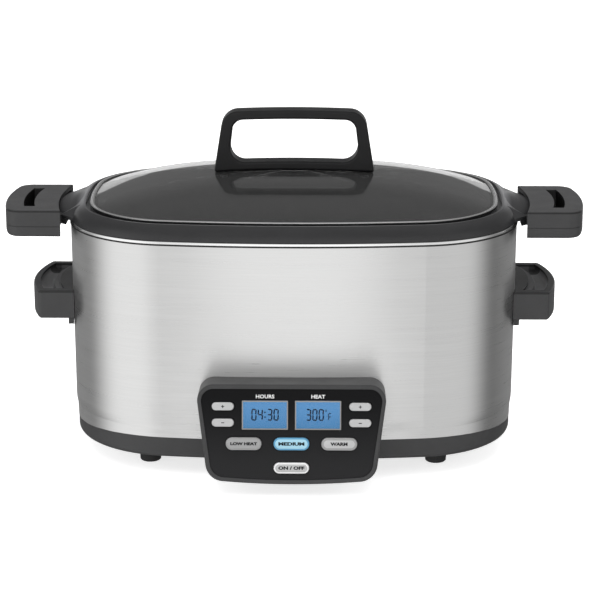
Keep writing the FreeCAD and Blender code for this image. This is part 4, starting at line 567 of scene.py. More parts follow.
@dataclass(frozen=True)
class Zone:
    """A box on both sides of the cooker in which a finish changes."""

    near: float
    far: float
    half_depth: float
    foot: float
    top: float
    blur: float = 0.0008
    side_blur: float = 0.001

    @classmethod
    def line(cls, foot: float, top: float) -> "Zone":
        """Gives a thin level line that runs right round a handle."""
        return cls(near=0.1, far=0.3, half_depth=0.1, foot=foot, top=top, blur=0.0004)

    def share(self, recipe: Recipe) -> Socket:
        """Gives 1 inside the box and 0 outside it.

        Args:
            recipe: the material's node tree.

        Returns:
            The share.
        """
        side = recipe.sum("ABSOLUTE", recipe.axis("X"))
        deep = recipe.sum("ABSOLUTE", recipe.sum("SUBTRACT", recipe.axis("Y"), MIDDLE))
        height = recipe.axis("Z")
        return recipe.sum(
            "MULTIPLY",
            recipe.rise(side, self.near - self.side_blur, self.near),
            recipe.fall(side, self.far, self.far + self.side_blur),
            recipe.fall(deep, self.half_depth, self.half_depth + self.side_blur),
            recipe.rise(height, self.foot - self.blur, self.foot),
            recipe.fall(height, self.top, self.top + self.blur),
        )


@dataclass(frozen=True)
class ZonedPlastic(Plastic):
    """Moulded plastic that is darker or paler in a few zones: painted shade in slots and under edges, painted light in
    scoops, and darker parting lines.
    """

    zones: tuple[tuple[Zone, float], ...] = ()

    def worn(self, recipe: Recipe, even: Socket) -> Socket:
        """Changes the colour in each zone: painted shade, painted light, or a darker parting line.

        Args:
            recipe: the material's node tree.
            even: the colour before.

        Returns:
            The colour after.
        """
        for zone, factor in self.zones:
            even = recipe.colours(zone.share(recipe), even, self.shade(factor))
        return even


@dataclass(frozen=True)
class StoveCoating(Finish):
    """Satin non-stick coating on a drawn pot: dark and speckled, with a painted highlight along the crest at each end.
    """

    specks: float = 900.0
    peel: float = 420.0
    peel_depth: float = 0.00003
    patches: Triple = (22.0, 22.0, 60.0)
    tones: Range = (0.86, 1.14)
    uneven: Range = (-0.03, 0.04)
    speck_reach: Range = (0.04, 0.18)
    speck_tint: float = 3.2
    sparkle: float = 0.5
    matt: Range = (0.176, 0.186)
    matt_roughness: float = 0.68
    crest_inside: Range = (0.1635, 0.1685)
    crest_outside: Range = (0.1685, 0.1745)
    crest_foot: Range = (0.1905, 0.1935)
    crest_front: Range = (-0.062, -0.022)
    crest_back: Range = (0.055, 0.1)
    crest_tint: float = 5.5
    end_flat: float = 0.034
    end_bow: float = 0.8
    corner_bow: float = 0.172

    def paint(self, recipe: Recipe) -> Inputs:
        """Makes specks, an orange-peel relief and the painted crest highlight, duller towards the handles.

        Args:
            recipe: the material's node tree.

        Returns:
            What feeds the shader.
        """
        patch = recipe.noise(self.patches)
        base = recipe.colours(recipe.swing(patch, 0.0, 1.0), *map(self.shade, self.tones))
        side = recipe.sum("ABSOLUTE", recipe.axis("X"))
        # A paler band along the rim's crest at each end: a painted highlight.
        base = recipe.colours(self.crest(recipe, side), base, self.shade(self.crest_tint))
        spark = recipe.span(recipe.cells(self.specks), *self.speck_reach, self.sparkle, 0.0)
        matt = recipe.rise(side, *self.matt, soft=True)
        satin = recipe.swing(patch, *self.around(self.uneven))
        extra = recipe.sum("MULTIPLY", matt, recipe.sum("SUBTRACT", self.matt_roughness, satin))
        return {
            "Base Color": recipe.colours(spark, base, self.shade(self.speck_tint)),
            "Roughness": recipe.sum("ADD", satin, extra),
            "Specular IOR Level": 0.5,
            "Normal": recipe.bump(recipe.noise(self.peel, detail=2.0), self.peel_depth, strength=0.6),
        }

    def crest(self, recipe: Recipe, side: Socket) -> Socket:
        """Finds the painted highlight that runs round each end of the rim, along its outline.

        Args:
            recipe: the material's node tree.
            side: the distance from the cooker's middle along x.

        Returns:
            Its share, 1 on the crest.
        """
        along = recipe.sum("SUBTRACT", recipe.axis("Y"), MIDDLE)
        deep = recipe.sum("ABSOLUTE", along)
        beyond = recipe.sum("MAXIMUM", recipe.sum("SUBTRACT", deep, self.end_flat), 0.0)
        bow = recipe.sum("DIVIDE", recipe.sum("MULTIPLY", deep, deep), self.end_bow)
        corner = recipe.sum("DIVIDE", recipe.sum("MULTIPLY", beyond, beyond), self.corner_bow)
        reach = recipe.sum("ADD", side, recipe.sum("ADD", bow, corner))
        ridge = recipe.sum("MULTIPLY", recipe.rise(reach, *self.crest_inside, soft=True),
                           recipe.fall(reach, *self.crest_outside, soft=True))
        ends = recipe.sum("MULTIPLY", recipe.rise(along, *self.crest_front, soft=True),
                          recipe.fall(along, *self.crest_back, soft=True))
        height = recipe.rise(recipe.axis("Z"), *self.crest_foot, soft=True)
        return recipe.sum("MULTIPLY", ridge, recipe.sum("MULTIPLY", height, ends))


@dataclass(frozen=True)
class SmokedGlass(Finish):
    """Tempered glass of the lid: see-through, faintly grey, with the slight wave of pressed glass."""

    waves: Triple = (5.0, 34.0, 5.0)
    smears: Triple = (14.0, 90.0, 14.0)
    clearness: float = 0.955
    wave_depth: float = 0.00002
    smear_tone: float = 0.94
    smear_swing: Range = (0.35, 0.75)
    film: float = 0.006

    def paint(self, recipe: Recipe) -> Inputs:
        """Makes a long faint wave and a thin film.

        Args:
            recipe: the material's node tree.

        Returns:
            What feeds the shader.
        """
        smear = recipe.noise(self.smears, detail=4.0, rough=0.65)
        wave = recipe.noise(self.waves, detail=2.0)
        return {
            "Base Color": recipe.colours(recipe.swing(smear, 0.0, 1.0), self.shade(self.smear_tone),
                                         self.colour),
            "Transmission Weight": self.clearness,
            "IOR": 1.5,
            "Roughness": recipe.span(smear, *self.smear_swing, *self.around((0.0, self.film))),
            "Normal": recipe.bump(wave, self.wave_depth),
        }


@dataclass(frozen=True)
class ClearWindow(Finish):
    """Clear moulded window over a display, with the faintest haze."""

    haze_patches: float = 300.0
    haze_tone: float = 0.98
    uneven: Range = (0.0, 0.02)

    def paint(self, recipe: Recipe) -> Inputs:
        """Makes a haze in clear plastic.

        Args:
            recipe: the material's node tree.

        Returns:
            What feeds the shader.
        """
        haze = recipe.noise(self.haze_patches)
        return {
            "Base Color": recipe.colours(haze, self.shade(self.haze_tone), self.colour),
            "Transmission Weight": 1.0,
            "IOR": 1.2,
            "Specular IOR Level": 0.3,
            "Roughness": recipe.swing(haze, *self.around(self.uneven)),
        }


@dataclass(frozen=True)
class Fading(Finish):
    """A finish whose colour changes from the foot of a part to its top."""

    top_colour: Colour = grey(0.0)
    foot: float = 0.0
    top: float = 1.0

    def faded(self, recipe: Recipe) -> Socket:
        """Gives the colour at each height."""
        height = recipe.rise(recipe.axis("Z"), self.foot, self.top, soft=True)
        return recipe.colours(height, self.colour, self.top_colour)


@dataclass(frozen=True)
class FadingPaint(Fading):
    """Paint that changes colour over a part's height as painted shade, darker towards the top on the fascia, with a
    fine grain.
    """

    grain: float = 1800.0
    grain_depth: float = 0.00001
    grain_share: float = 0.12
    grain_tone: float = 1.5
    uneven: Range = (-0.03, 0.03)

    def paint(self, recipe: Recipe) -> Inputs:
        """Makes the painted shade over the height and the grain.

        Args:
            recipe: the material's node tree.

        Returns:
            What feeds the shader.
        """
        grain = recipe.noise(self.grain, detail=2.0)
        return {
            "Base Color": recipe.colours(recipe.swing(grain, 0.0, self.grain_share), self.faded(recipe),
                                         self.shade(self.grain_tone)),
            "Specular IOR Level": 0.12,
            "Roughness": recipe.swing(grain, *self.around(self.uneven)),
            "Normal": recipe.bump(grain, self.grain_depth, strength=0.4),
        }


@dataclass(frozen=True)
class LitDisplay(Fading):
    """A backlit liquid crystal: a glow that fades over the window's height."""

    glow: float = 0.8
    grid: float = 700.0
    grid_share: float = 0.1
    grid_tone: float = 0.85

    def paint(self, recipe: Recipe) -> Inputs:
        """Makes the glow.

        Args:
            recipe: the material's node tree.

        Returns:
            What feeds the shader.
        """
        speckle = recipe.noise(self.grid, detail=1.0)
        return {
            "Base Color": self.shade(1.0 - self.glow),
            "Emission Color": recipe.colours(recipe.swing(speckle, 0.0, self.grid_share), self.faded(recipe),
                                             self.shade(self.grid_tone)),
            "Emission Strength": self.glow,
            "Specular IOR Level": 0.1,
        }


@dataclass(frozen=True)
class FibreMat(Finish):
    """Pressed mineral fibre: pale, matt, with long tangled fibres."""

    along: Triple = (90.0, 90.0, 700.0)
    along_turn: Triple = (0.4, 0.0, 0.3)
    across: Triple = (600.0, 600.0, 80.0)
    across_turn: Triple = (0.0, 0.5, 0.0)
    felt: Range = (0.4, 0.75)
    felt_depth: float = 0.0006
    dark: float = 0.7

    def paint(self, recipe: Recipe) -> Inputs:
        """Makes fibres that lie across each other.

        Args:
            recipe: the material's node tree.

        Returns:
            What feeds the shader.
        """
        along = recipe.noise(self.along, detail=4.0, rough=0.7, turn=self.along_turn)
        across = recipe.noise(self.across, detail=4.0, rough=0.7, turn=self.across_turn)
        tangle = recipe.sum("MAXIMUM", along, across)
        return {
            "Base Color": recipe.colours(recipe.rise(tangle, *self.felt), self.shade(self.dark), self.colour),
            "Normal": recipe.bump(tangle, self.felt_depth, strength=1.0),
            "Sheen Weight": 0.3,
        }


@dataclass(frozen=True)
class CircuitBoard(Finish):
    """Green solder mask with paler traces and a scatter of bright joints."""

    trace_colour: Colour = (0.02, 0.16, 0.06)
    joint_colour: Colour = (0.6, 0.6, 0.57)
    lanes: Triple = (130.0, 95.0, 130.0)
    lane_depth: float = 0.00005
    joints: float = 170.0
    joint_reach: Range = (0.1, 0.14)

    def paint(self, recipe: Recipe) -> Inputs:
        """Makes traces and joints.

        Args:
            recipe: the material's node tree.

        Returns:
            What feeds the shader.
        """
        inputs = {"Vector": recipe.stretch(self.lanes), "Scale": 1.0, "Mortar Size": 0.05}
        bricks = recipe.node("ShaderNodeTexBrick", inputs, offset=0.37, squash=1.6, squash_frequency=3)
        board = recipe.colours(bricks.outputs["Fac"], self.colour, self.trace_colour)
        dot = recipe.fall(recipe.cells(self.joints), *self.joint_reach)
        return {
            "Base Color": recipe.colours(dot, board, self.joint_colour),
            "Metallic": dot,
            "Normal": recipe.bump(bricks.outputs["Fac"], self.lane_depth),
        }


@dataclass(frozen=True)
class Windings(Finish):
    """The iron and copper of a small transformer: stacked laminations around a wound middle."""

    wire_colour: Colour = (0.55, 0.2, 0.06)
    layers: float = 1400.0
    layer_depth: float = 0.0002
    gap: Range = (0.1, 0.35)
    gap_tone: float = 0.4
    rust_patches: float = 240.0
    rust_swing: Range = (0.4, 0.7)
    rust_share: float = 0.5

    def paint(self, recipe: Recipe) -> Inputs:
        """Makes the stripes of laminations and wire.

        Args:
            recipe: the material's node tree.

        Returns:
            What feeds the shader.
        """
        layer = recipe.sum("FRACT", recipe.sum("MULTIPLY", recipe.axis("Z"), self.layers))
        leaf = recipe.rise(layer, *self.gap, soft=True)
        rust = recipe.span(recipe.noise(self.rust_patches), *self.rust_swing, 0.0, self.rust_share)
        iron = recipe.colours(rust, self.colour, self.wire_colour)
        return {
            "Base Color": recipe.colours(leaf, self.shade(self.gap_tone), iron),
            "Metallic": 0.7,
            "Normal": recipe.bump(leaf, self.layer_depth, strength=0.7),
        }


# The moulded parts' common colour.
CHARCOAL = (0.038, 0.038, 0.039)

# A pot handle's finger slot darkened as painted shade, a painted shadow line under its rounded top, and the darker
# parting of its halves.
GRIP_ZONES = (
    (Zone(near=0.203, far=0.2185, half_depth=0.0345, foot=0.17, top=0.1962), 0.06),
    (Zone.line(0.1958, 0.1966), 0.12),
    (Zone.line(0.184, 0.1845), 0.5),
)

# A housing handle's scoop and the strip between scoop and shell, made paler as painted light, and a painted shadow line
# under its top edge.
LUG_ZONES = (
    (Zone(near=0.194, far=0.2055, half_depth=0.0285, foot=0.12, top=0.1308), 5.5),
    (Zone(near=0.18, far=0.1935, half_depth=0.04, foot=0.12, top=0.1312), 2.8),
    (Zone.line(0.1304, 0.1312), 0.12),
)

PALETTE: dict[str, Finish] = {finish.name: finish for finish in (
    # Finishes of the record's own material slots.
    BrushedSteel("brushed_steel", (0.72, 0.72, 0.715), 0.3),
    Metal("polished_steel", grey(0.86), 0.09, wear=0.03),
    StoveCoating("dark_coating", (0.019, 0.019, 0.02), 0.31),
    Plastic("charcoal_plastic", CHARCOAL, 0.46),
    Plastic("black_plastic", (0.011, 0.011, 0.012), 0.4, grain_depth=0.00002),
    Plastic("foot_rubber", grey(0.012), 0.7, grain_size=0.0008),
    ClearWindow("clear_lens", (0.97, 0.98, 1.0), 0.04),
    Plastic("button_silver", grey(0.52), 0.35, mottle=0.04),
    Plastic("button_blue", (0.12, 0.36, 0.57), 0.35, mottle=0.04),
    Plastic("button_grey", grey(0.34), 0.35, mottle=0.04),
    Plastic("button_white", grey(0.9), 0.35, mottle=0.03),
    SmokedGlass("dark_glass", grey(0.5), 0.004),
    Plastic("silicone", (0.02, 0.02, 0.021), 0.6),
    Metal("aluminised_steel", (0.62, 0.62, 0.63), 0.42, mottle_size=0.004, mottle=0.3),
    Metal("cast_aluminium", (0.58, 0.58, 0.59), 0.5, mottle_size=0.006, mottle=0.25,
          grain_size=0.0007, grain_depth=0.0001),
    Metal("element_steel", (0.3, 0.29, 0.28), 0.38, mottle_size=0.008, mottle=0.4),
    Metal("fastener_steel", (0.66, 0.66, 0.67), 0.28, mottle_size=0.002, mottle=0.15),
    FibreMat("fibre_blanket", (0.72, 0.69, 0.6), 0.9),
    CircuitBoard("circuit_board", (0.01, 0.085, 0.035), 0.4),
    Windings("transformer_iron", (0.28, 0.27, 0.26), 0.45),
    Plastic("fuse_body", (0.6, 0.54, 0.42), 0.35),
    Plastic("wire_insulation", (0.6, 0.58, 0.53), 0.5),
    # Finishes of a few nodes that differ from the rest of their slot.
    Plastic("knob_plastic", (0.008, 0.008, 0.0085), 0.5, specular=0.32),
    ZonedPlastic("grip_plastic", CHARCOAL, 0.46, zones=GRIP_ZONES),
    ZonedPlastic("lug_plastic", CHARCOAL, 0.46, zones=LUG_ZONES),
    Metal("trim_steel", grey(0.92), 0.16, wear=0.03),
    # Finishes of the pieces that are modelled here.
    Plastic("pad_silver", grey(0.53), 0.4, mottle=0.04),
    Plastic("pad_grey", grey(0.37), 0.4, mottle=0.04),
    Plastic("pad_blue", (0.4, 0.68, 0.82), 0.4, mottle=0.04),
    Metal("ring_steel", grey(0.95), 0.3, wear=0.03),
    # A near-black bead that stands for the shadow under the housing's trim: painted shadow.
    Plastic("seam_black", grey(0.008), 0.6, mottle=0.1),
    Plastic("print_ink", (0.008, 0.008, 0.01), 0.7, mottle=0.05, specular=0.1),
    Plastic("print_white", grey(0.88), 0.6, mottle=0.03),
    Plastic("digit_ink", (0.002, 0.006, 0.022), 0.6, mottle=0.1, specular=0.1),
    Plastic("window_frame", (0.3, 0.29, 0.28), 0.3, mottle=0.1),
)}


def paint_node(name: str, finish: Finish) -> None:
    """Gives a whole CAD node one finish."""
    for place in frame["nodes"][name].material_slots:
        place.material = finish.material()


# ---------------------------------------------------------------------------------------------
# Modelling
# ---------------------------------------------------------------------------------------------


def middle_of(node: str) -> Vector:
    """Gives the middle of a CAD node."""
    low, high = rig.box(node)
    return (low + high) / 2


def half_of(node: str) -> Vector:
    """Gives half the size of a CAD node."""
    low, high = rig.box(node)
    return (high - low) / 2


class Bench:
    """Edit-mode work on one new piece, with Blender's own tools."""

    # A face is level when its normal points up or down by more than the first share of its length,
    # and upright when it does so by less than the second.
    LEVEL = 0.9
    UPRIGHT = 0.35

    # Edges up to these angles, in degrees, are shaded smooth.
    SMOOTH_IF_BEVELLED = 35
    SMOOTH_IF_ROUND = 50

    # Points closer than this become one, in a copied node and in its outline. An outline keeps the
    # points that are no lower than the last of the three below the top.
    WELD = 0.002 * MM
    OUTLINE_WELD = 0.01 * MM
    OUTLINE_DROP = 0.05 * MM

    def __init__(self, name: str) -> None:
        """Takes the piece that an operator has just made.

        Args:
            name: the piece's name.
        """
        self.piece = bpy.context.active_object
        self.piece.name = name
        self.piece.data.name = name

    @staticmethod
    def clear() -> None:
        """Deselects everything, so that the next tool acts on its own piece alone."""
        if bpy.context.mode != "OBJECT":
            bpy.ops.object.mode_set(mode="OBJECT")
        bpy.ops.object.select_all(action="DESELECT")

    @classmethod
    def cylinder(cls, name: str, radius: float, depth: float, sides: int) -> "Bench":
        """Adds an upright cylinder whose flats face along x, with its foot on z = 0."""
        cls.clear()
        bpy.ops.mesh.primitive_cylinder_add(vertices=sides, radius=radius, depth=depth,
                                            location=(0, 0, depth / 2), rotation=(0, 0, math.pi / sides))
        return cls(name).settle()

    @classmethod
    def block(cls, name: str, width: float, height: float, depth: float) -> "Bench":
        """Adds a block with its foot on z = 0."""
        cls.clear()
        bpy.ops.mesh.primitive_cube_add(size=1, location=(0, 0, depth / 2), scale=(width, height, depth))
        return cls(name).settle()

    @classmethod
    def ball(cls, name: str, radii: Triple) -> "Bench":
        """Adds a ball about the origin, with a radius for each axis."""
        cls.clear()
        bpy.ops.mesh.primitive_uv_sphere_add(segments=64, ring_count=32, radius=1.0, scale=radii)
        return cls(name).settle()

    @classmethod
    def lettering(cls, name: str, words: str, size: float, depth: float, width: float,
                  weight: float) -> "Bench":
        """Sets words as a thin raised print, centred on the origin.

        Args:
            name: the piece's name.
            words: what is printed.
            size: the letters' size.
            depth: the print's thickness.
            width: how much wider than usual the letters are.
            weight: how much thicker their strokes are.

        Returns:
            The bench that holds the print.
        """
        cls.clear()
        bpy.ops.object.text_add(location=(0, 0, 0))
        text = bpy.context.active_object.data
        text.body = words
        text.align_x = "CENTER"
        text.align_y = "CENTER"
        text.size = size
        text.extrude = depth / 2
        text.offset = weight
        text.resolution_u = 3
        bpy.ops.object.convert(target="MESH")
        bench = cls(name)
        bench.piece.scale = (width, 1.0, 1.0)
        bench.piece.location = (0, 0, depth / 2)
        return bench.settle()

    @classmethod
    def duplicate(cls, name: str, source: bpy.types.Object) -> "Bench":
        """Copies an object as a piece with a mesh of its own."""
        cls.clear()
        source.select_set(True)
        bpy.context.view_layer.objects.active = source
        bpy.ops.object.duplicate(linked=False)
        return cls(name)

    @classmethod
    def twin(cls, name: str, node: str) -> "Bench":
        """Copies a CAD node and cuts the copy loose from its body and its finish.

        Args:
            name: the piece's name.
            node: the node that is copied.

        Returns:
            The bench that holds the copy.
        """
        bench = cls.duplicate(name, frame["nodes"][node])
        bench.piece.parent = None
        for key in [key for key in bench.piece.keys() if key.startswith("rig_")]:
            del bench.piece[key]
        bench.piece.data.materials.clear()
        return bench.settle()

    @classmethod
    def stand_in(cls, name: str, node: str) -> "Bench":
        """Copies a CAD node with its loose triangles joined up and its curves smooth."""
        bench = cls.twin(name, node)
        bench.grab()
        bpy.ops.mesh.remove_doubles(threshold=cls.WELD)
        bench.leave()
        return bench.smooth(cls.SMOOTH_IF_ROUND)

    @classmethod
    def outline(cls, name: str, node: str) -> "Bench":
        """Copies the upper edge of a CAD ring's outer wall, as a loop of bare edges.

        Args:
            name: the piece's name.
            node: the ring whose edge is copied.

        Returns:
            The bench that holds the loop.
        """
        bench = cls.twin(name, node)
        middle = middle_of(node).y
        # A face that stands square to an axis still counts as one that looks outwards.
        least = -1e-6
        bench.pick_faces(lambda centre, normal: abs(normal.z) < cls.UPRIGHT
                         and normal.x * centre.x >= least and normal.y * (centre.y - middle) >= least)
        bpy.ops.mesh.select_all(action="INVERT")
        bpy.ops.mesh.delete(type="FACE")
        bpy.ops.mesh.select_all(action="SELECT")
        bpy.ops.mesh.remove_doubles(threshold=cls.OUTLINE_WELD)
        bench.leave()
        level = max(vertex.co.z for vertex in bench.piece.data.vertices)
        bench.pick_vertices(lambda co: level - co.z > cls.OUTLINE_DROP)
        bpy.ops.mesh.delete(type="VERT")
        bpy.ops.mesh.select_all(action="SELECT")
        bpy.ops.mesh.delete(type="ONLY_FACE")
        return bench.leave()

    @classmethod
    def bead(cls, name: str, node: str, radius: float, squash: float = 1.0, lift: float = 0.0,
             inset: float = 0.0) -> "Bench":
        """Lays a round bead along the upper outer edge of a CAD ring.

        Args:
            name: the piece's name.
            node: the ring whose edge it follows.
            radius: half the bead's width.
            squash: its height against its width.
            lift: how far its middle is above the edge.
            inset: how far its middle is inside the edge.

        Returns:
            The bench that holds the bead.
        """
        bench = cls.outline(name, node)
        level = bench.piece.data.vertices[0].co.z
        bench.convert("CURVE")
        bench.piece.data.bevel_depth = radius
        bench.piece.data.bevel_resolution = 4
        bench.convert("MESH")
        bench.smooth(cls.SMOOTH_IF_ROUND)
        half = half_of(node)
        shrink = Matrix.Diagonal((1 - inset / half.x, 1 - inset / half.y, squash, 1))
        centre = Vector((*middle_of(node).xy, level))
        lifted = Matrix.Translation(centre + Vector((0, 0, lift)))
        return bench.put(lifted @ shrink @ Matrix.Translation(-centre))

    def convert(self, kind: str) -> None:
        """Turns the piece into a curve or a mesh."""
        bpy.ops.object.convert(target=kind)
        self.piece = bpy.context.active_object

    def hold(self) -> None:
        """Makes the piece the active one and the only one that is selected."""
        self.clear()
        self.piece.select_set(True)
        bpy.context.view_layer.objects.active = self.piece

    def settle(self) -> "Bench":
        """Puts the piece's place, turn and scale into its mesh."""
        self.hold()
        bpy.ops.object.transform_apply(location=True, rotation=True, scale=True)
        return self

    def put(self, place: Matrix) -> "Bench":
        """Moves and turns the piece to its place, in its mesh."""
        self.piece.matrix_world = place @ self.piece.matrix_world
        return self.settle()

    def grab(self, kind: str = "VERT") -> None:
        """Enters edit mode with every vertex, edge or face selected."""
        self.hold()
        bpy.ops.object.mode_set(mode="EDIT")
        bpy.ops.mesh.select_mode(type=kind)
        bpy.ops.mesh.select_all(action="SELECT")

    def leave(self) -> "Bench":
        """Goes back to object mode."""
        bpy.ops.object.mode_set(mode="OBJECT")
        return self

    def drop(self, kind: str) -> None:
        """Leaves nothing selected, so that vertices or faces can be selected one by one."""
        self.grab(kind)
        bpy.ops.mesh.select_all(action="DESELECT")
        self.leave()

    def pick_vertices(self, wanted: Callable[[Vector], bool]) -> None:
        """Selects the vertices that a test on their place picks, in edit mode."""
        self.drop("VERT")
        for vertex in self.piece.data.vertices:
            vertex.select = wanted(vertex.co)
        bpy.ops.object.mode_set(mode="EDIT")

    def pick_faces(self, wanted: Callable[[Vector, Vector], bool]) -> None:
        """Selects the faces that a test on their centre and normal picks, in edit mode."""
        self.drop("FACE")
        for polygon in self.piece.data.polygons:
            polygon.select = wanted(polygon.center, polygon.normal)
        bpy.ops.object.mode_set(mode="EDIT")

    def shift(self, x: float = 0.0, z: float = 0.0) -> None:
        """Moves what is selected."""
        bpy.ops.transform.translate(value=(x, 0.0, z))

    def smooth(self, angle: float) -> "Bench":
        """Shades the piece smooth, but for the edges that are sharper than an angle in degrees."""
        bpy.ops.object.shade_smooth_by_angle(angle=math.radians(angle))
        return self

    def halve(self, away: Triple) -> None:
        """Cuts the piece through the origin, drops one side and closes it.

        Args:
            away: the direction of the side that goes.
        """
        self.grab("FACE")
        bpy.ops.mesh.bisect(plane_co=(0, 0, 0), plane_no=away, use_fill=True, clear_outer=True)
        self.leave()

    def thicken(self, sheet: float) -> None:
        """Gives an open sheet its thickness, towards the inside.

        Args:
            sheet: the thickness.
        """
        self.grab("FACE")
        bpy.ops.mesh.normals_make_consistent(inside=False)
        self.leave()
        solid = self.piece.modifiers.new("sheet", "SOLIDIFY")
        solid.thickness = sheet
        solid.offset = -1.0
        bpy.ops.object.modifier_apply(modifier=solid.name)
        self.smooth(self.SMOOTH_IF_BEVELLED)

    def stadium(self, spread: float) -> "Bench":
        """Draws the two halves of a cylinder apart along x, by spread each way."""
        for side in (1, -1):
            self.pick_vertices(lambda co, side=side: co.x * side > 0)
            self.shift(x=side * spread)
        return self.leave()

    def hollow(self, rim: float, depth: float) -> "Bench":
        """Sinks the inside of the top and leaves a rim.

        Args:
            rim: the width of the rim that stays.
            depth: how deep the middle sinks below the top.

        Returns:
            This bench.
        """
        self.pick_faces(lambda centre, normal: normal.z > self.LEVEL)
        bpy.ops.mesh.inset(thickness=rim, depth=0.0)
        self.shift(z=-depth)
        return self.leave()

    def pierce(self, rim: float) -> "Bench":
        """Cuts the inside away from top to bottom, and leaves a frame.

        Args:
            rim: the width of the frame that stays.

        Returns:
            This bench.
        """
        for side in (1, -1):
            self.pick_faces(lambda centre, normal, side=side: normal.z * side > self.LEVEL)
            bpy.ops.mesh.inset(thickness=rim, depth=0.0)
            bpy.ops.mesh.delete(type="FACE")
            self.leave()
        self.grab("EDGE")
        bpy.ops.mesh.select_non_manifold(extend=False)
        bpy.ops.mesh.bridge_edge_loops()
        bpy.ops.mesh.select_all(action="SELECT")
        bpy.ops.mesh.normals_make_consistent(inside=False)
        return self.leave()

    def soften(self, width: float, segments: int = 2, angle: float = 40.0) -> "Bench":
        """Rounds the piece's sharp edges with a bevel that is applied.

        Args:
            width: the bevel's width.
            segments: how many steps it has.
            angle: the least angle between faces, in degrees, that is rounded.

        Returns:
            This bench.
        """
        self.hold()
        bevel = self.piece.modifiers.new("soft_edge", "BEVEL")
        bevel.width = width
        bevel.segments = segments
        bevel.limit_method = "ANGLE"
        bevel.angle_limit = math.radians(angle)
        bpy.ops.object.modifier_apply(modifier=bevel.name)
        return self.smooth(self.SMOOTH_IF_BEVELLED)

    def copy(self, place: Matrix) -> "Bench":
        """Makes a copy with a mesh of its own, at another place."""
        return Bench.duplicate(self.piece.name, self.piece).put(place)

    def join(self, others: list["Bench"]) -> "Bench":
        """Joins other pieces into this one."""
        self.hold()
        for bench in others:
            bench.piece.select_set(True)
        if others:
            bpy.ops.object.join()
        return self

    def dress(self, finish: str, body: str, slot: str | None = None) -> bpy.types.Object:
        """Gives the piece its finish and the body that carries it.

        Args:
            finish: the finish's name.
            body: the CAD body that the piece moves with.
            slot: the record's material slot it takes its finish from, if any.

        Returns:
            The finished piece.
        """
        self.clear()
        self.piece.data.materials.clear()
        self.piece.data.materials.append(PALETTE[finish].material())
        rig.ride(self.piece, body)
        if slot is not None:
            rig.slot(self.piece, slot)
        LOG.info("piece %s: %d faces on %s", self.piece.name, len(self.piece.data.polygons), body)
        return self.piece


@dataclass(frozen=True)
class FaceSpot:
    """Where a part of the control panel lies on its tilted face, in the face's own axes."""

    x: float
    rise: float
    width: float
    height: float
    front: float


class PanelFace:
    """The tilted plane of the control panel, with an axis across, one up the face and one out of it."""

    def __init__(self) -> None:
        """Reads the tilt from the start button's joint, which points along the face's normal."""
        joint = next(joint for joint in frame["joints"] if joint["child"] == "start_button")
        normal = Vector(joint["axis"]).normalized()
        self.out = normal if normal.y < 0 else -normal
        self.across = Vector((1.0, 0.0, 0.0))
        self.up = self.out.cross(self.across)

    def spot(self, node: str) -> FaceSpot:
        """Measures one CAD node along the face's axes.

        Args:
            node: the node's name.

        Returns:
            Its middle, size and frontmost level.
        """
        points = [vertex.co for vertex in frame["nodes"][node].data.vertices]
        sides = [point.dot(self.across) for point in points]
        rises = [point.dot(self.up) for point in points]
        return FaceSpot(
            x=(min(sides) + max(sides)) / 2,
            rise=(min(rises) + max(rises)) / 2,
            width=max(sides) - min(sides),
            height=max(rises) - min(rises),
            front=max(point.dot(self.out) for point in points),
        )

    def place(self, x: float, rise: float, level: float) -> Matrix:
        """Gives the matrix that sets a flat piece on the face.

        Args:
            x: its middle across.
            rise: its middle up the face.
            level: the level of its foot, out of the face.

        Returns:
            The matrix.
        """
        origin = self.across * x + self.up * rise + self.out * level
        turn = Matrix((self.across, self.up, self.out)).transposed().to_4x4()
        return Matrix.Translation(origin) @ turn


# ---------------------------------------------------------------------------------------------
# Sub-assemblies
# ---------------------------------------------------------------------------------------------


class SubAssembly:
    """A group of parts that belong together; each kind has its own build method."""

    def build(self) -> None:
        """Dresses the group's CAD nodes and models the pieces that it adds."""
        raise NotImplementedError


class Carcass(SubAssembly):
    """Every CAD node, dressed with the finish of its own material slot or one of its own."""

    OWN_FINISHES = {
        "lid_handle": "knob_plastic", "mode_button_left": "button_grey", "trim_ring": "trim_steel",
        "left_pot_handle": "grip_plastic", "right_pot_handle": "grip_plastic",
        "left_pot_handle_cap": "grip_plastic", "right_pot_handle_cap": "grip_plastic",
        "left_housing_handle": "lug_plastic", "right_housing_handle": "lug_plastic",
    }

    def build(self) -> None:
        """Gives each node the finish that has its slot's name; the panel paints what has none."""
        for name, node in sorted(frame["nodes"].items()):
            for place in node.material_slots:
                finish = self.OWN_FINISHES.get(name, place.material.name.split(".")[0])
                place.material = PALETTE.get(finish, PALETTE["charcoal_plastic"]).material()
            LOG.info("node %s dressed", name)


@dataclass
class Rings(SubAssembly):
    """The rounded steel ring around the lid's glass, and a dark bead under the housing's trim that stands for the
    shadow there: a painted shadow.
    """

    ring_radius: float = 1.3 * MM
    ring_squash: float = 0.85
    ring_sink: float = 0.8 * MM
    seam_radius: float = 0.65 * MM

    def build(self) -> None:
        """Models the bead of the lid's ring and the dark bead of painted shadow under the trim."""
        bead = Bench.bead("lid_ring_bead", "lid_ring", self.ring_radius, squash=self.ring_squash,
                          lift=-self.ring_sink, inset=self.ring_radius)
        bead.dress("ring_steel", "lid", "polished_steel")
        # A near-black bead under the trim, standing for the shadow there: painted shadow.
        seam = Bench.bead("trim_seam", "housing_shell", self.seam_radius, lift=-self.seam_radius)
        seam.dress("seam_black", "housing", "black_plastic")


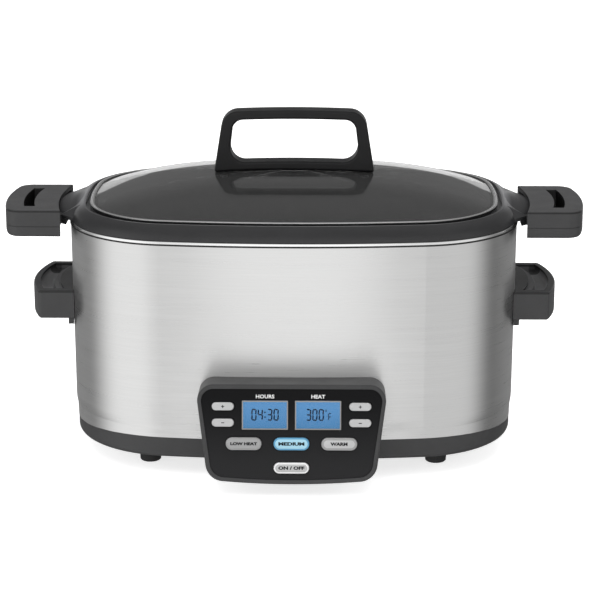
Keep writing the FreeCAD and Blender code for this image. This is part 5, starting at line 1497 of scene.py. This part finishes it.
@dataclass
class Shoulders(SubAssembly):
    """The smooth domed shoulders that lead from the pot's rim into its two handles."""

    root: float = 167.5 * MM
    reach: float = 24.5 * MM
    half_width: float = 47.0 * MM
    foot: float = 189.8 * MM
    height: float = 9.8 * MM
    edge: float = 0.2 * MM

    def build(self) -> None:
        """Models a quarter of a ball at each end."""
        for name, side in (("left_shoulder", -1), ("right_shoulder", 1)):
            dome = Bench.ball(name, (self.reach, self.half_width, self.height))
            dome.halve((0, 0, -1))
            dome.halve((-side, 0, 0))
            dome.soften(self.edge, segments=1, angle=60)
            dome.put(Matrix.Translation((side * self.root, MIDDLE, self.foot)))
            dome.dress("dark_coating", "pot", "dark_coating")


@dataclass
class Skirt(SubAssembly):
    """The shell's rolled lower edge, which laps over the base and hangs lowest at the ends."""

    top: float = 39.3 * MM
    seam: float = 31.7 * MM
    end_drop: float = 4.2 * MM
    end_from: float = 115.0 * MM
    end_to: float = 175.5 * MM
    top_outset: float = 2.5 * MM
    foot_outset: float = 2.1 * MM
    sheet: float = 0.3 * MM
    bands: int = 20

    def build(self) -> None:
        """Models the edge from the outline of the base's upstand."""
        skirt = Bench.outline("shell_skirt", "base_tray")
        level = skirt.piece.data.vertices[0].co.z
        skirt.grab("EDGE")
        skirt.shift(z=self.top - level)
        self.spread(self.top_outset)
        bpy.ops.mesh.extrude_edges_move(TRANSFORM_OT_translate={"value": (0.0, 0.0, self.seam - self.top)})
        self.spread(self.foot_outset - self.top_outset)
        skirt.leave()
        self.droop(skirt)
        skirt.thicken(self.sheet)
        skirt.dress("brushed_steel", "housing", "brushed_steel")

    def spread(self, outset: float) -> None:
        """Draws what is selected outwards.

        Args:
            outset: how far it moves out on each side.
        """
        half = half_of("base_tray")
        bpy.ops.transform.resize(value=(1 + outset / half.x, 1 + outset / half.y, 1.0),
                                 center_override=(*middle_of("base_tray").xy, 0.0))

    def droop(self, skirt: Bench) -> None:
        """Lowers the edge's foot towards the ends, band by band.

        Args:
            skirt: the bench that holds the edge.
        """
        halfway = (self.top + self.seam) / 2
        for band in range(self.bands):
            start = band / self.bands
            inner = self.end_from + (self.end_to - self.end_from) * start
            step = self.end_drop * ((start + 1 / self.bands) ** 2 - start ** 2)
            skirt.pick_vertices(lambda co, inner=inner: abs(co.x) > inner and co.z < halfway)
            skirt.shift(z=-step)
            skirt.leave()


@dataclass
class SensorSpring(SubAssembly):
    """The coil under the sensor's cap, which shortens as the cap is pressed."""

    node: str = "sensor_spring"
    joint: str = "sensor_press"

    def build(self) -> None:
        """Models the coil that stands for the CAD one and ties its length to the joint."""
        low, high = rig.box(self.node)
        coil = Bench.stand_in("sensor_coil", self.node)
        coil.dress("element_steel", "housing", "element_steel")
        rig.replaces(coil.piece, self.node)
        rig.squash(coil.piece, self.joint, axis=(0, 0, 1), anchor=(0, middle_of(self.node).y, low.z),
                  keep=1 - self.travel() / (high.z - low.z))

    def travel(self) -> float:
        """Gives how far the joint moves from rest."""
        joints = frame["record"]["behaviour"]["joints"]
        limits = next(joint["range_m"] for joint in joints if joint["name"] == self.joint)
        return max(abs(limit) for limit in limits)


@dataclass
class DisplayWindow(SubAssembly):
    """One lit display behind its window: the glow, the seven-stroke digits and the frame.

    The unit's sink and the ring's rise are shares of the digits' height, and the stroke's point is a
    share of its own thickness.
    """

    name: str
    face: PanelFace
    words: str
    degrees: bool = False
    glow_foot: Colour = (0.076, 0.247, 0.49)
    glow_top: Colour = (0.1155, 0.318, 0.609)
    digit_height: float = 9.1 * MM
    digit_width: float = 4.1 * MM
    digit_pitch: float = 4.8 * MM
    colon_pitch: float = 2.4 * MM
    colon_rise: float = 1.82 * MM
    dot_edge: float = 0.187 * MM
    stroke: float = 1.12 * MM
    stroke_point: float = 0.62
    ink_depth: float = 0.06 * MM
    unit_size: float = 0.66
    unit_left: float = 0.96 * MM
    unit_gap: float = 2.7 * MM
    unit_sink: float = 0.16
    ring_radius: float = 0.75 * MM
    ring_rim: float = 0.35 * MM
    ring_sides: int = 16
    ring_left: float = 0.2 * MM
    ring_rise: float = 0.36
    frame_inset: float = 1.0 * MM
    frame_width: float = 0.95 * MM
    frame_depth: float = 0.9 * MM
    frame_edge: float = 0.25 * MM

    STROKES = {
        "0": "abcdef", "1": "bc", "2": "abged", "3": "abgcd", "4": "fgbc",
        "5": "afgcd", "6": "afgedc", "7": "abc", "8": "abcdefg", "9": "abcdfg", "F": "aefg",
    }

    def build(self) -> None:
        """Lights the display and models its digits and frame."""
        self.light()
        self.digits()
        self.edge()

    def light(self) -> None:
        """Gives the display node its glow."""
        node = self.name + "_display"
        low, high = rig.box(node)
        paint_node(node, LitDisplay(node, self.glow_foot, roughness=0.25, top_colour=self.glow_top,
                                    foot=low.z, top=high.z))

    def stroke_bench(self) -> Bench:
        """Models one lying stroke: a long hexagon with pointed ends."""
        sides = 6
        half_side = math.pi / sides
        bench = Bench.cylinder("stroke", self.stroke / 2 / math.cos(half_side), self.ink_depth, sides)
        bench.piece.rotation_euler = (0, 0, half_side)
        spread = (self.digit_width - self.stroke) / 2 - self.stroke * self.stroke_point
        return bench.settle().stadium(spread)

    def sign(self, sign: str, x: float, y: float = 0.0, scale: float = 1.0) -> list[Matrix]:
        """Places the strokes of one sign.

        Args:
            sign: the digit or letter.
            x: its middle across.
            y: its middle up the face.
            scale: its size against a full digit.

        Returns:
            A matrix for each stroke.
        """
        half_width = (self.digit_width - self.stroke) / 2
        half_height = (self.digit_height - self.stroke) / 2
        lying = {"a": half_height, "g": 0.0, "d": -half_height}
        standing = {"f": (-1, 1), "b": (1, 1), "e": (-1, -1), "c": (1, -1)}
        stretch = Matrix.Scale(half_height / 2 / half_width, 4, (1, 0, 0))
        whole = Matrix.Translation((x, y, 0)) @ Matrix.Scale(scale, 4)
        places = []
        for letter in self.STROKES[sign]:
            if letter in lying:
                places.append(whole @ Matrix.Translation((0, lying[letter], 0)))
            else:
                side, level = standing[letter]
                middle = Matrix.Translation((side * half_width, level * half_height / 2, 0))
                places.append(whole @ middle @ Matrix.Rotation(math.pi / 2, 4, "Z") @ stretch)
        return places

    def digits(self) -> None:
        """Models the row of digits and sets it just in front of the display."""
        stroke = self.stroke_bench()
        made, cursor = [], 0.0
        for sign in self.words:
            if sign == ":":
                made += self.colon(cursor + (self.colon_pitch - self.digit_pitch) / 2)
                cursor += self.colon_pitch
            else:
                made += [stroke.copy(place) for place in self.sign(sign, cursor)]
                cursor += self.digit_pitch
        if self.degrees:
            made += self.degree_sign(stroke, cursor - self.unit_left)
            cursor += self.digit_pitch
        bpy.data.objects.remove(stroke.piece)
        whole = made[0].join(made[1:])
        whole.piece.name = whole.piece.data.name = self.name + "_digits"
        glass = self.face.spot(self.name + "_display")
        window = self.face.spot(self.name + "_lens")
        whole.put(self.face.place(window.x - (cursor - self.digit_pitch) / 2, window.rise, glass.front))
        whole.dress("digit_ink", "housing", "display_blue")

    def colon(self, x: float) -> list[Bench]:
        """Models the two dots between hours and minutes."""
        dots = []
        for level in (-1, 1):
            dot = Bench.block("dot", self.stroke, self.stroke, self.ink_depth).soften(self.dot_edge)
            dots.append(dot.put(Matrix.Translation((x, level * self.colon_rise, 0))))
        return dots

    def degree_sign(self, stroke: Bench, x: float) -> list[Bench]:
        """Models the small ring and the letter that follow a temperature.

        Args:
            stroke: the stroke that the letter is made of.
            x: where the sign starts.

        Returns:
            The pieces.
        """
        places = self.sign("F", x + self.unit_gap, -self.unit_sink * self.digit_height, self.unit_size)
        made = [stroke.copy(place) for place in places]
        ring = Bench.cylinder("ring", self.ring_radius, self.ink_depth, self.ring_sides)
        ring.hollow(self.ring_rim, self.ink_depth)
        made.append(ring.put(Matrix.Translation((x - self.ring_left, self.ring_rise * self.digit_height, 0))))
        return made

    def edge(self) -> None:
        """Models the narrow raised frame around the window."""
        window = self.face.spot(self.name + "_lens")
        bench = Bench.block(self.name + "_window_frame", window.width - 2 * self.frame_inset,
                            window.height - 2 * self.frame_inset, self.frame_depth)
        bench.pierce(self.frame_width).soften(self.frame_edge)
        bench.put(self.face.place(window.x, window.rise, self.face.spot("panel_fascia").front))
        bench.dress("window_frame", "housing", "fascia_black")


class Mark(Enum):
    """What a step button shows."""

    PLUS = "plus"
    MINUS = "minus"


@dataclass
class StepButton(SubAssembly):
    """A small bar button with a plus or a minus printed on it."""

    node: str
    face: PanelFace
    mark: Mark
    arm: float = 2.3 * MM
    line: float = 0.6 * MM
    print_depth: float = 0.05 * MM
    print_edge: float = 0.01 * MM

    def build(self) -> None:
        """Prints the mark on the button."""
        spot = self.face.spot(self.node)
        sizes = [(self.arm, self.line), (self.line, self.arm)]
        bars = [Bench.block(self.node + "_mark", *size, self.print_depth).soften(self.print_edge)
                for size in sizes[:2 if self.mark is Mark.PLUS else 1]]
        whole = bars[0].join(bars[1:])
        whole.put(self.face.place(spot.x, spot.rise, spot.front))
        whole.dress("print_ink", self.node)


@dataclass
class PadButton(SubAssembly):
    """A wide button: a ring around a paler pad with a printed word."""

    node: str
    face: PanelFace
    word: str
    pad: str
    ring: float = 1.75 * MM
    rise: float = 0.12 * MM
    edge: float = 0.072 * MM
    letter: float = 3.3 * MM
    letter_width: float = 1.25
    weight: float = 0.17 * MM
    print_depth: float = 0.03 * MM
    length: float = 27.0 * MM
    height: float = 9.5 * MM
    sides: int = 58

    def build(self) -> None:
        """Models the pad and its word."""
        spot = self.face.spot(self.node)
        pad = Bench.cylinder(self.node + "_pad", self.height / 2 - self.ring, self.rise, self.sides)
        pad.stadium((self.length - self.height) / 2).soften(self.edge, segments=3)
        pad.put(self.face.place(spot.x, spot.rise, spot.front))
        pad.dress(self.pad, self.node)
        word = Bench.lettering(self.node + "_word", self.word, self.letter, self.print_depth,
                               self.letter_width, self.weight)
        word.put(self.face.place(spot.x, spot.rise, spot.front + self.rise))
        word.dress("print_ink", self.node)


@dataclass
class Caption(SubAssembly):
    """A plain white word printed above a display."""

    node: str
    face: PanelFace
    word: str
    lift: float = 14.0 * MM
    letter: float = 3.9 * MM
    letter_width: float = 1.1
    weight: float = 0.1 * MM
    print_depth: float = 0.05 * MM

    def build(self) -> None:
        """Prints the word on the fascia."""
        spot = self.face.spot(self.node)
        word = Bench.lettering(self.node + "_caption", self.word, self.letter, self.print_depth,
                               self.letter_width, self.weight)
        word.put(self.face.place(spot.x, spot.rise + self.lift, self.face.spot("panel_fascia").front))
        word.dress("print_white", "housing")


@dataclass
class ControlPanel(SubAssembly):
    """The tilted panel: fascia, displays, signs and buttons."""

    face: PanelFace = field(default_factory=PanelFace)
    # The fascia's colour at its foot and at its top: darker towards the top as painted shade.
    fascia_foot: Colour = (0.021, 0.021, 0.022)
    fascia_top: Colour = (0.002, 0.002, 0.0025)

    def build(self) -> None:
        """Paints the fascia with a painted shade that darkens it towards its top, and builds every part of its face."""
        low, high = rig.box("panel_fascia")
        paint_node("panel_fascia", FadingPaint("fascia", self.fascia_foot, roughness=0.42,
                                               top_colour=self.fascia_top, foot=low.z, top=high.z))
        DisplayWindow("time", self.face, "04:30").build()
        DisplayWindow("temperature", self.face, "300", degrees=True).build()
        for display in ("time", "temperature"):
            StepButton(display + "_up_button", self.face, Mark.PLUS).build()
            StepButton(display + "_down_button", self.face, Mark.MINUS).build()
        PadButton("mode_button_left", self.face, "LOW HEAT", "pad_grey", ring=1.4 * MM,
                  letter=2.9 * MM, letter_width=1.36).build()
        PadButton("mode_button_middle", self.face, "MEDIUM", "pad_blue", ring=1.2 * MM,
                  letter_width=1.6).build()
        PadButton("mode_button_right", self.face, "WARM", "pad_silver").build()
        PadButton("start_button", self.face, "ON / OFF", "button_silver", ring=1.2 * MM,
                  length=26.6 * MM, height=8.2 * MM, letter_width=1.42).build()
        Caption("time_lens", self.face, "HOURS").build()
        Caption("temperature_lens", self.face, "HEAT").build()


# ---------------------------------------------------------------------------------------------
# Studio
# ---------------------------------------------------------------------------------------------


@dataclass
class Lamp:
    """A soft square lamp that looks at the cooker."""

    name: str
    place: Triple
    size: float
    power: float

    def build(self, target: Vector) -> None:
        """Adds the lamp and turns it to its target.

        Args:
            target: the point that it looks at.
        """
        data = bpy.data.lights.new(self.name, "AREA")
        data.shape = "SQUARE"
        data.size = self.size
        data.energy = self.power
        lamp = bpy.data.objects.new(self.name, data)
        bpy.context.scene.collection.objects.link(lamp)
        lamp.location = self.place
        lamp.rotation_euler = (target - Vector(self.place)).to_track_quat("-Z", "Y").to_euler()
        lamp.visible_camera = False
        lamp.visible_glossy = False
        lamp.visible_transmission = False


@dataclass(frozen=True)
class SoftBox:
    """A tall soft light seen in reflections, by the compass angle at which it stands."""

    azimuth: float
    half_width: float
    fade: float
    level: float

    def brightness(self, recipe: Recipe, turn: Socket) -> Socket:
        """Gives how bright the box is in one direction.

        Args:
            recipe: the world's node tree.
            turn: the direction's azimuth in degrees, 0 in front and positive to the right.

        Returns:
            Its brightness there.
        """
        away = recipe.sum("ABSOLUTE", recipe.sum("SUBTRACT", turn, self.azimuth))
        return recipe.span(away, self.half_width, self.half_width + self.fade, self.level, 0.0, soft=True)


@dataclass
class Studio:
    """Floor, surroundings, lamps and camera."""

    floor_radius: float = 6.0
    floor_colour: Colour = grey(0.8)
    floor_glow: float = 0.74
    distance: float = 1.8
    azimuth: float = 0.82
    elevation: float = 15.41
    lens: float = 134.4
    pivot: Triple = (0.0, MIDDLE, 0.120)
    aim: Triple = (0.0014, MIDDLE, 0.1152)
    walls: float = 0.185
    boxes: tuple[SoftBox, ...] = (
        SoftBox(azimuth=-54.0, half_width=14.0, fade=50.0, level=0.9),
        SoftBox(azimuth=-1.0, half_width=7.0, fade=12.0, level=0.68),
        SoftBox(azimuth=45.0, half_width=20.0, fade=38.0, level=0.59),
        SoftBox(azimuth=-150.0, half_width=30.0, fade=20.0, level=0.07),
        SoftBox(azimuth=165.0, half_width=15.0, fade=30.0, level=0.05),
    )
    ceiling: float = 0.36
    far_wall: float = 0.2
    far_wall_turn: Range = (95.0, 125.0)
    far_wall_foot: Range = (-0.12, -0.07)
    far_wall_top: Range = (0.115, 0.13)
    ceiling_edge: Range = (0.5, 0.95)
    ambient: float = 0.5
    lamps: tuple[Lamp, ...] = (
        Lamp("key_lamp", (-0.5, -0.9, 1.9), 1.4, 12.0),
        Lamp("top_lamp", (0.2, 0.3, 2.0), 1.8, 25.0),
        Lamp("left_lamp", (-1.7, -0.7, 0.75), 1.0, 8.0),
        Lamp("right_lamp", (1.7, -0.7, 0.75), 1.0, 7.0),
    )

    def build(self) -> None:
        """Builds the whole studio."""
        self.floor()
        self.surroundings()
        for lamp in self.lamps:
            lamp.build(Vector(self.pivot))
        self.camera()

    def floor(self) -> None:
        """Models a wide round floor just under the feet, in white that keeps a soft shadow."""
        Bench.clear()
        bpy.ops.mesh.primitive_circle_add(vertices=96, radius=self.floor_radius, fill_type="NGON",
                                          location=(0, 0, CAD_BOX[0].z))
        bench = Bench("studio_floor").settle()
        made = bpy.data.materials.new("studio_floor")
        made.use_nodes = True
        recipe = Recipe(made.node_tree)
        camera, mirrored = recipe.rays()
        strength = recipe.sum("MULTIPLY", recipe.sum("MAXIMUM", camera, mirrored), self.floor_glow)
        glow = recipe.node("ShaderNodeEmission", {"Color": grey(1.0), "Strength": strength})
        shader = recipe.node("ShaderNodeBsdfPrincipled", {
            "Base Color": self.floor_colour, "Roughness": 0.9, "Specular IOR Level": 0.0})
        both = recipe.node("ShaderNodeAddShader", {0: shader.outputs["BSDF"], 1: glow.outputs["Emission"]})
        recipe.node("ShaderNodeOutputMaterial", {"Surface": both.outputs["Shader"]})
        bench.piece.data.materials.append(made)
        bench.piece.visible_glossy = False
        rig.stage(bench.piece)

    def mirrored_level(self, recipe: Recipe) -> Socket:
        """Gives how bright the surroundings are in reflections.

        Args:
            recipe: the world's node tree.

        Returns:
            Their brightness in the direction that is looked in.
        """
        way = recipe.node("ShaderNodeTexCoord", {}).outputs["Generated"]
        height = recipe.axis("Z", way)
        ahead = recipe.sum("MULTIPLY", recipe.axis("Y", way), -1.0)
        turn = recipe.sum("DEGREES", recipe.sum("ARCTAN2", recipe.axis("X", way), ahead))
        around = recipe.sum("ADD", self.walls, *(box.brightness(recipe, turn) for box in self.boxes))
        behind = recipe.rise(recipe.sum("ABSOLUTE", turn), *self.far_wall_turn, soft=True)
        share = recipe.sum("MULTIPLY", behind, recipe.rise(height, *self.far_wall_foot, soft=True))
        far = recipe.span(height, *self.far_wall_top, 1.0, self.far_wall, soft=True)
        roof = recipe.rise(height, *self.ceiling_edge, soft=True)
        return recipe.between(roof, recipe.between(share, around, far), self.ceiling)

    def surroundings(self) -> None:
        """Paints the world: white to the camera, soft for light, and shaped for reflections."""
        world = bpy.data.worlds.new("studio")
        bpy.context.scene.world = world
        world.use_nodes = True
        recipe = Recipe(world.node_tree)
        camera, mirrored = recipe.rays()
        strength = recipe.between(mirrored, self.ambient, self.mirrored_level(recipe))
        strength = recipe.sum("MAXIMUM", strength, camera)
        back = recipe.node("ShaderNodeBackground", {"Color": grey(1.0), "Strength": strength})
        recipe.node("ShaderNodeOutputWorld", {"Surface": back.outputs["Background"]})

    def camera(self) -> None:
        """Adds the camera at the viewing angle."""
        turn, rise = math.radians(self.azimuth), math.radians(self.elevation)
        back = Vector((math.sin(turn) * math.cos(rise), -math.cos(turn) * math.cos(rise), math.sin(rise)))
        data = bpy.data.cameras.new("camera")
        data.lens = self.lens
        data.sensor_width = 36.0
        camera = bpy.data.objects.new("camera", data)
        bpy.context.scene.collection.objects.link(camera)
        camera.location = Vector(self.pivot) + back * self.distance
        camera.rotation_euler = (Vector(self.aim) - camera.location).to_track_quat("-Z", "Y").to_euler()
        bpy.context.scene.camera = camera


def write_sizes() -> None:
    """Writes the CAD box and the dressed model's box."""
    boxes = {
        "cad": [list(CAD_BOX[0]), list(CAD_BOX[1])],
        "visual": [list(corner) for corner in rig.bounds()],
    }
    with open(SIZE_FILE, "w") as out:
        json.dump(boxes, out)


def main() -> None:
    """Dresses the cooker and sets up the studio."""
    logging.basicConfig(level=logging.INFO, format="%(name)s: %(message)s")
    bpy.context.scene.view_settings.view_transform = "Standard"
    Studio().build()
    Carcass().build()
    Rings().build()
    Shoulders().build()
    Skirt().build()
    SensorSpring().build()
    ControlPanel().build()
    write_sizes()


if __name__ == "__main__":
    main()
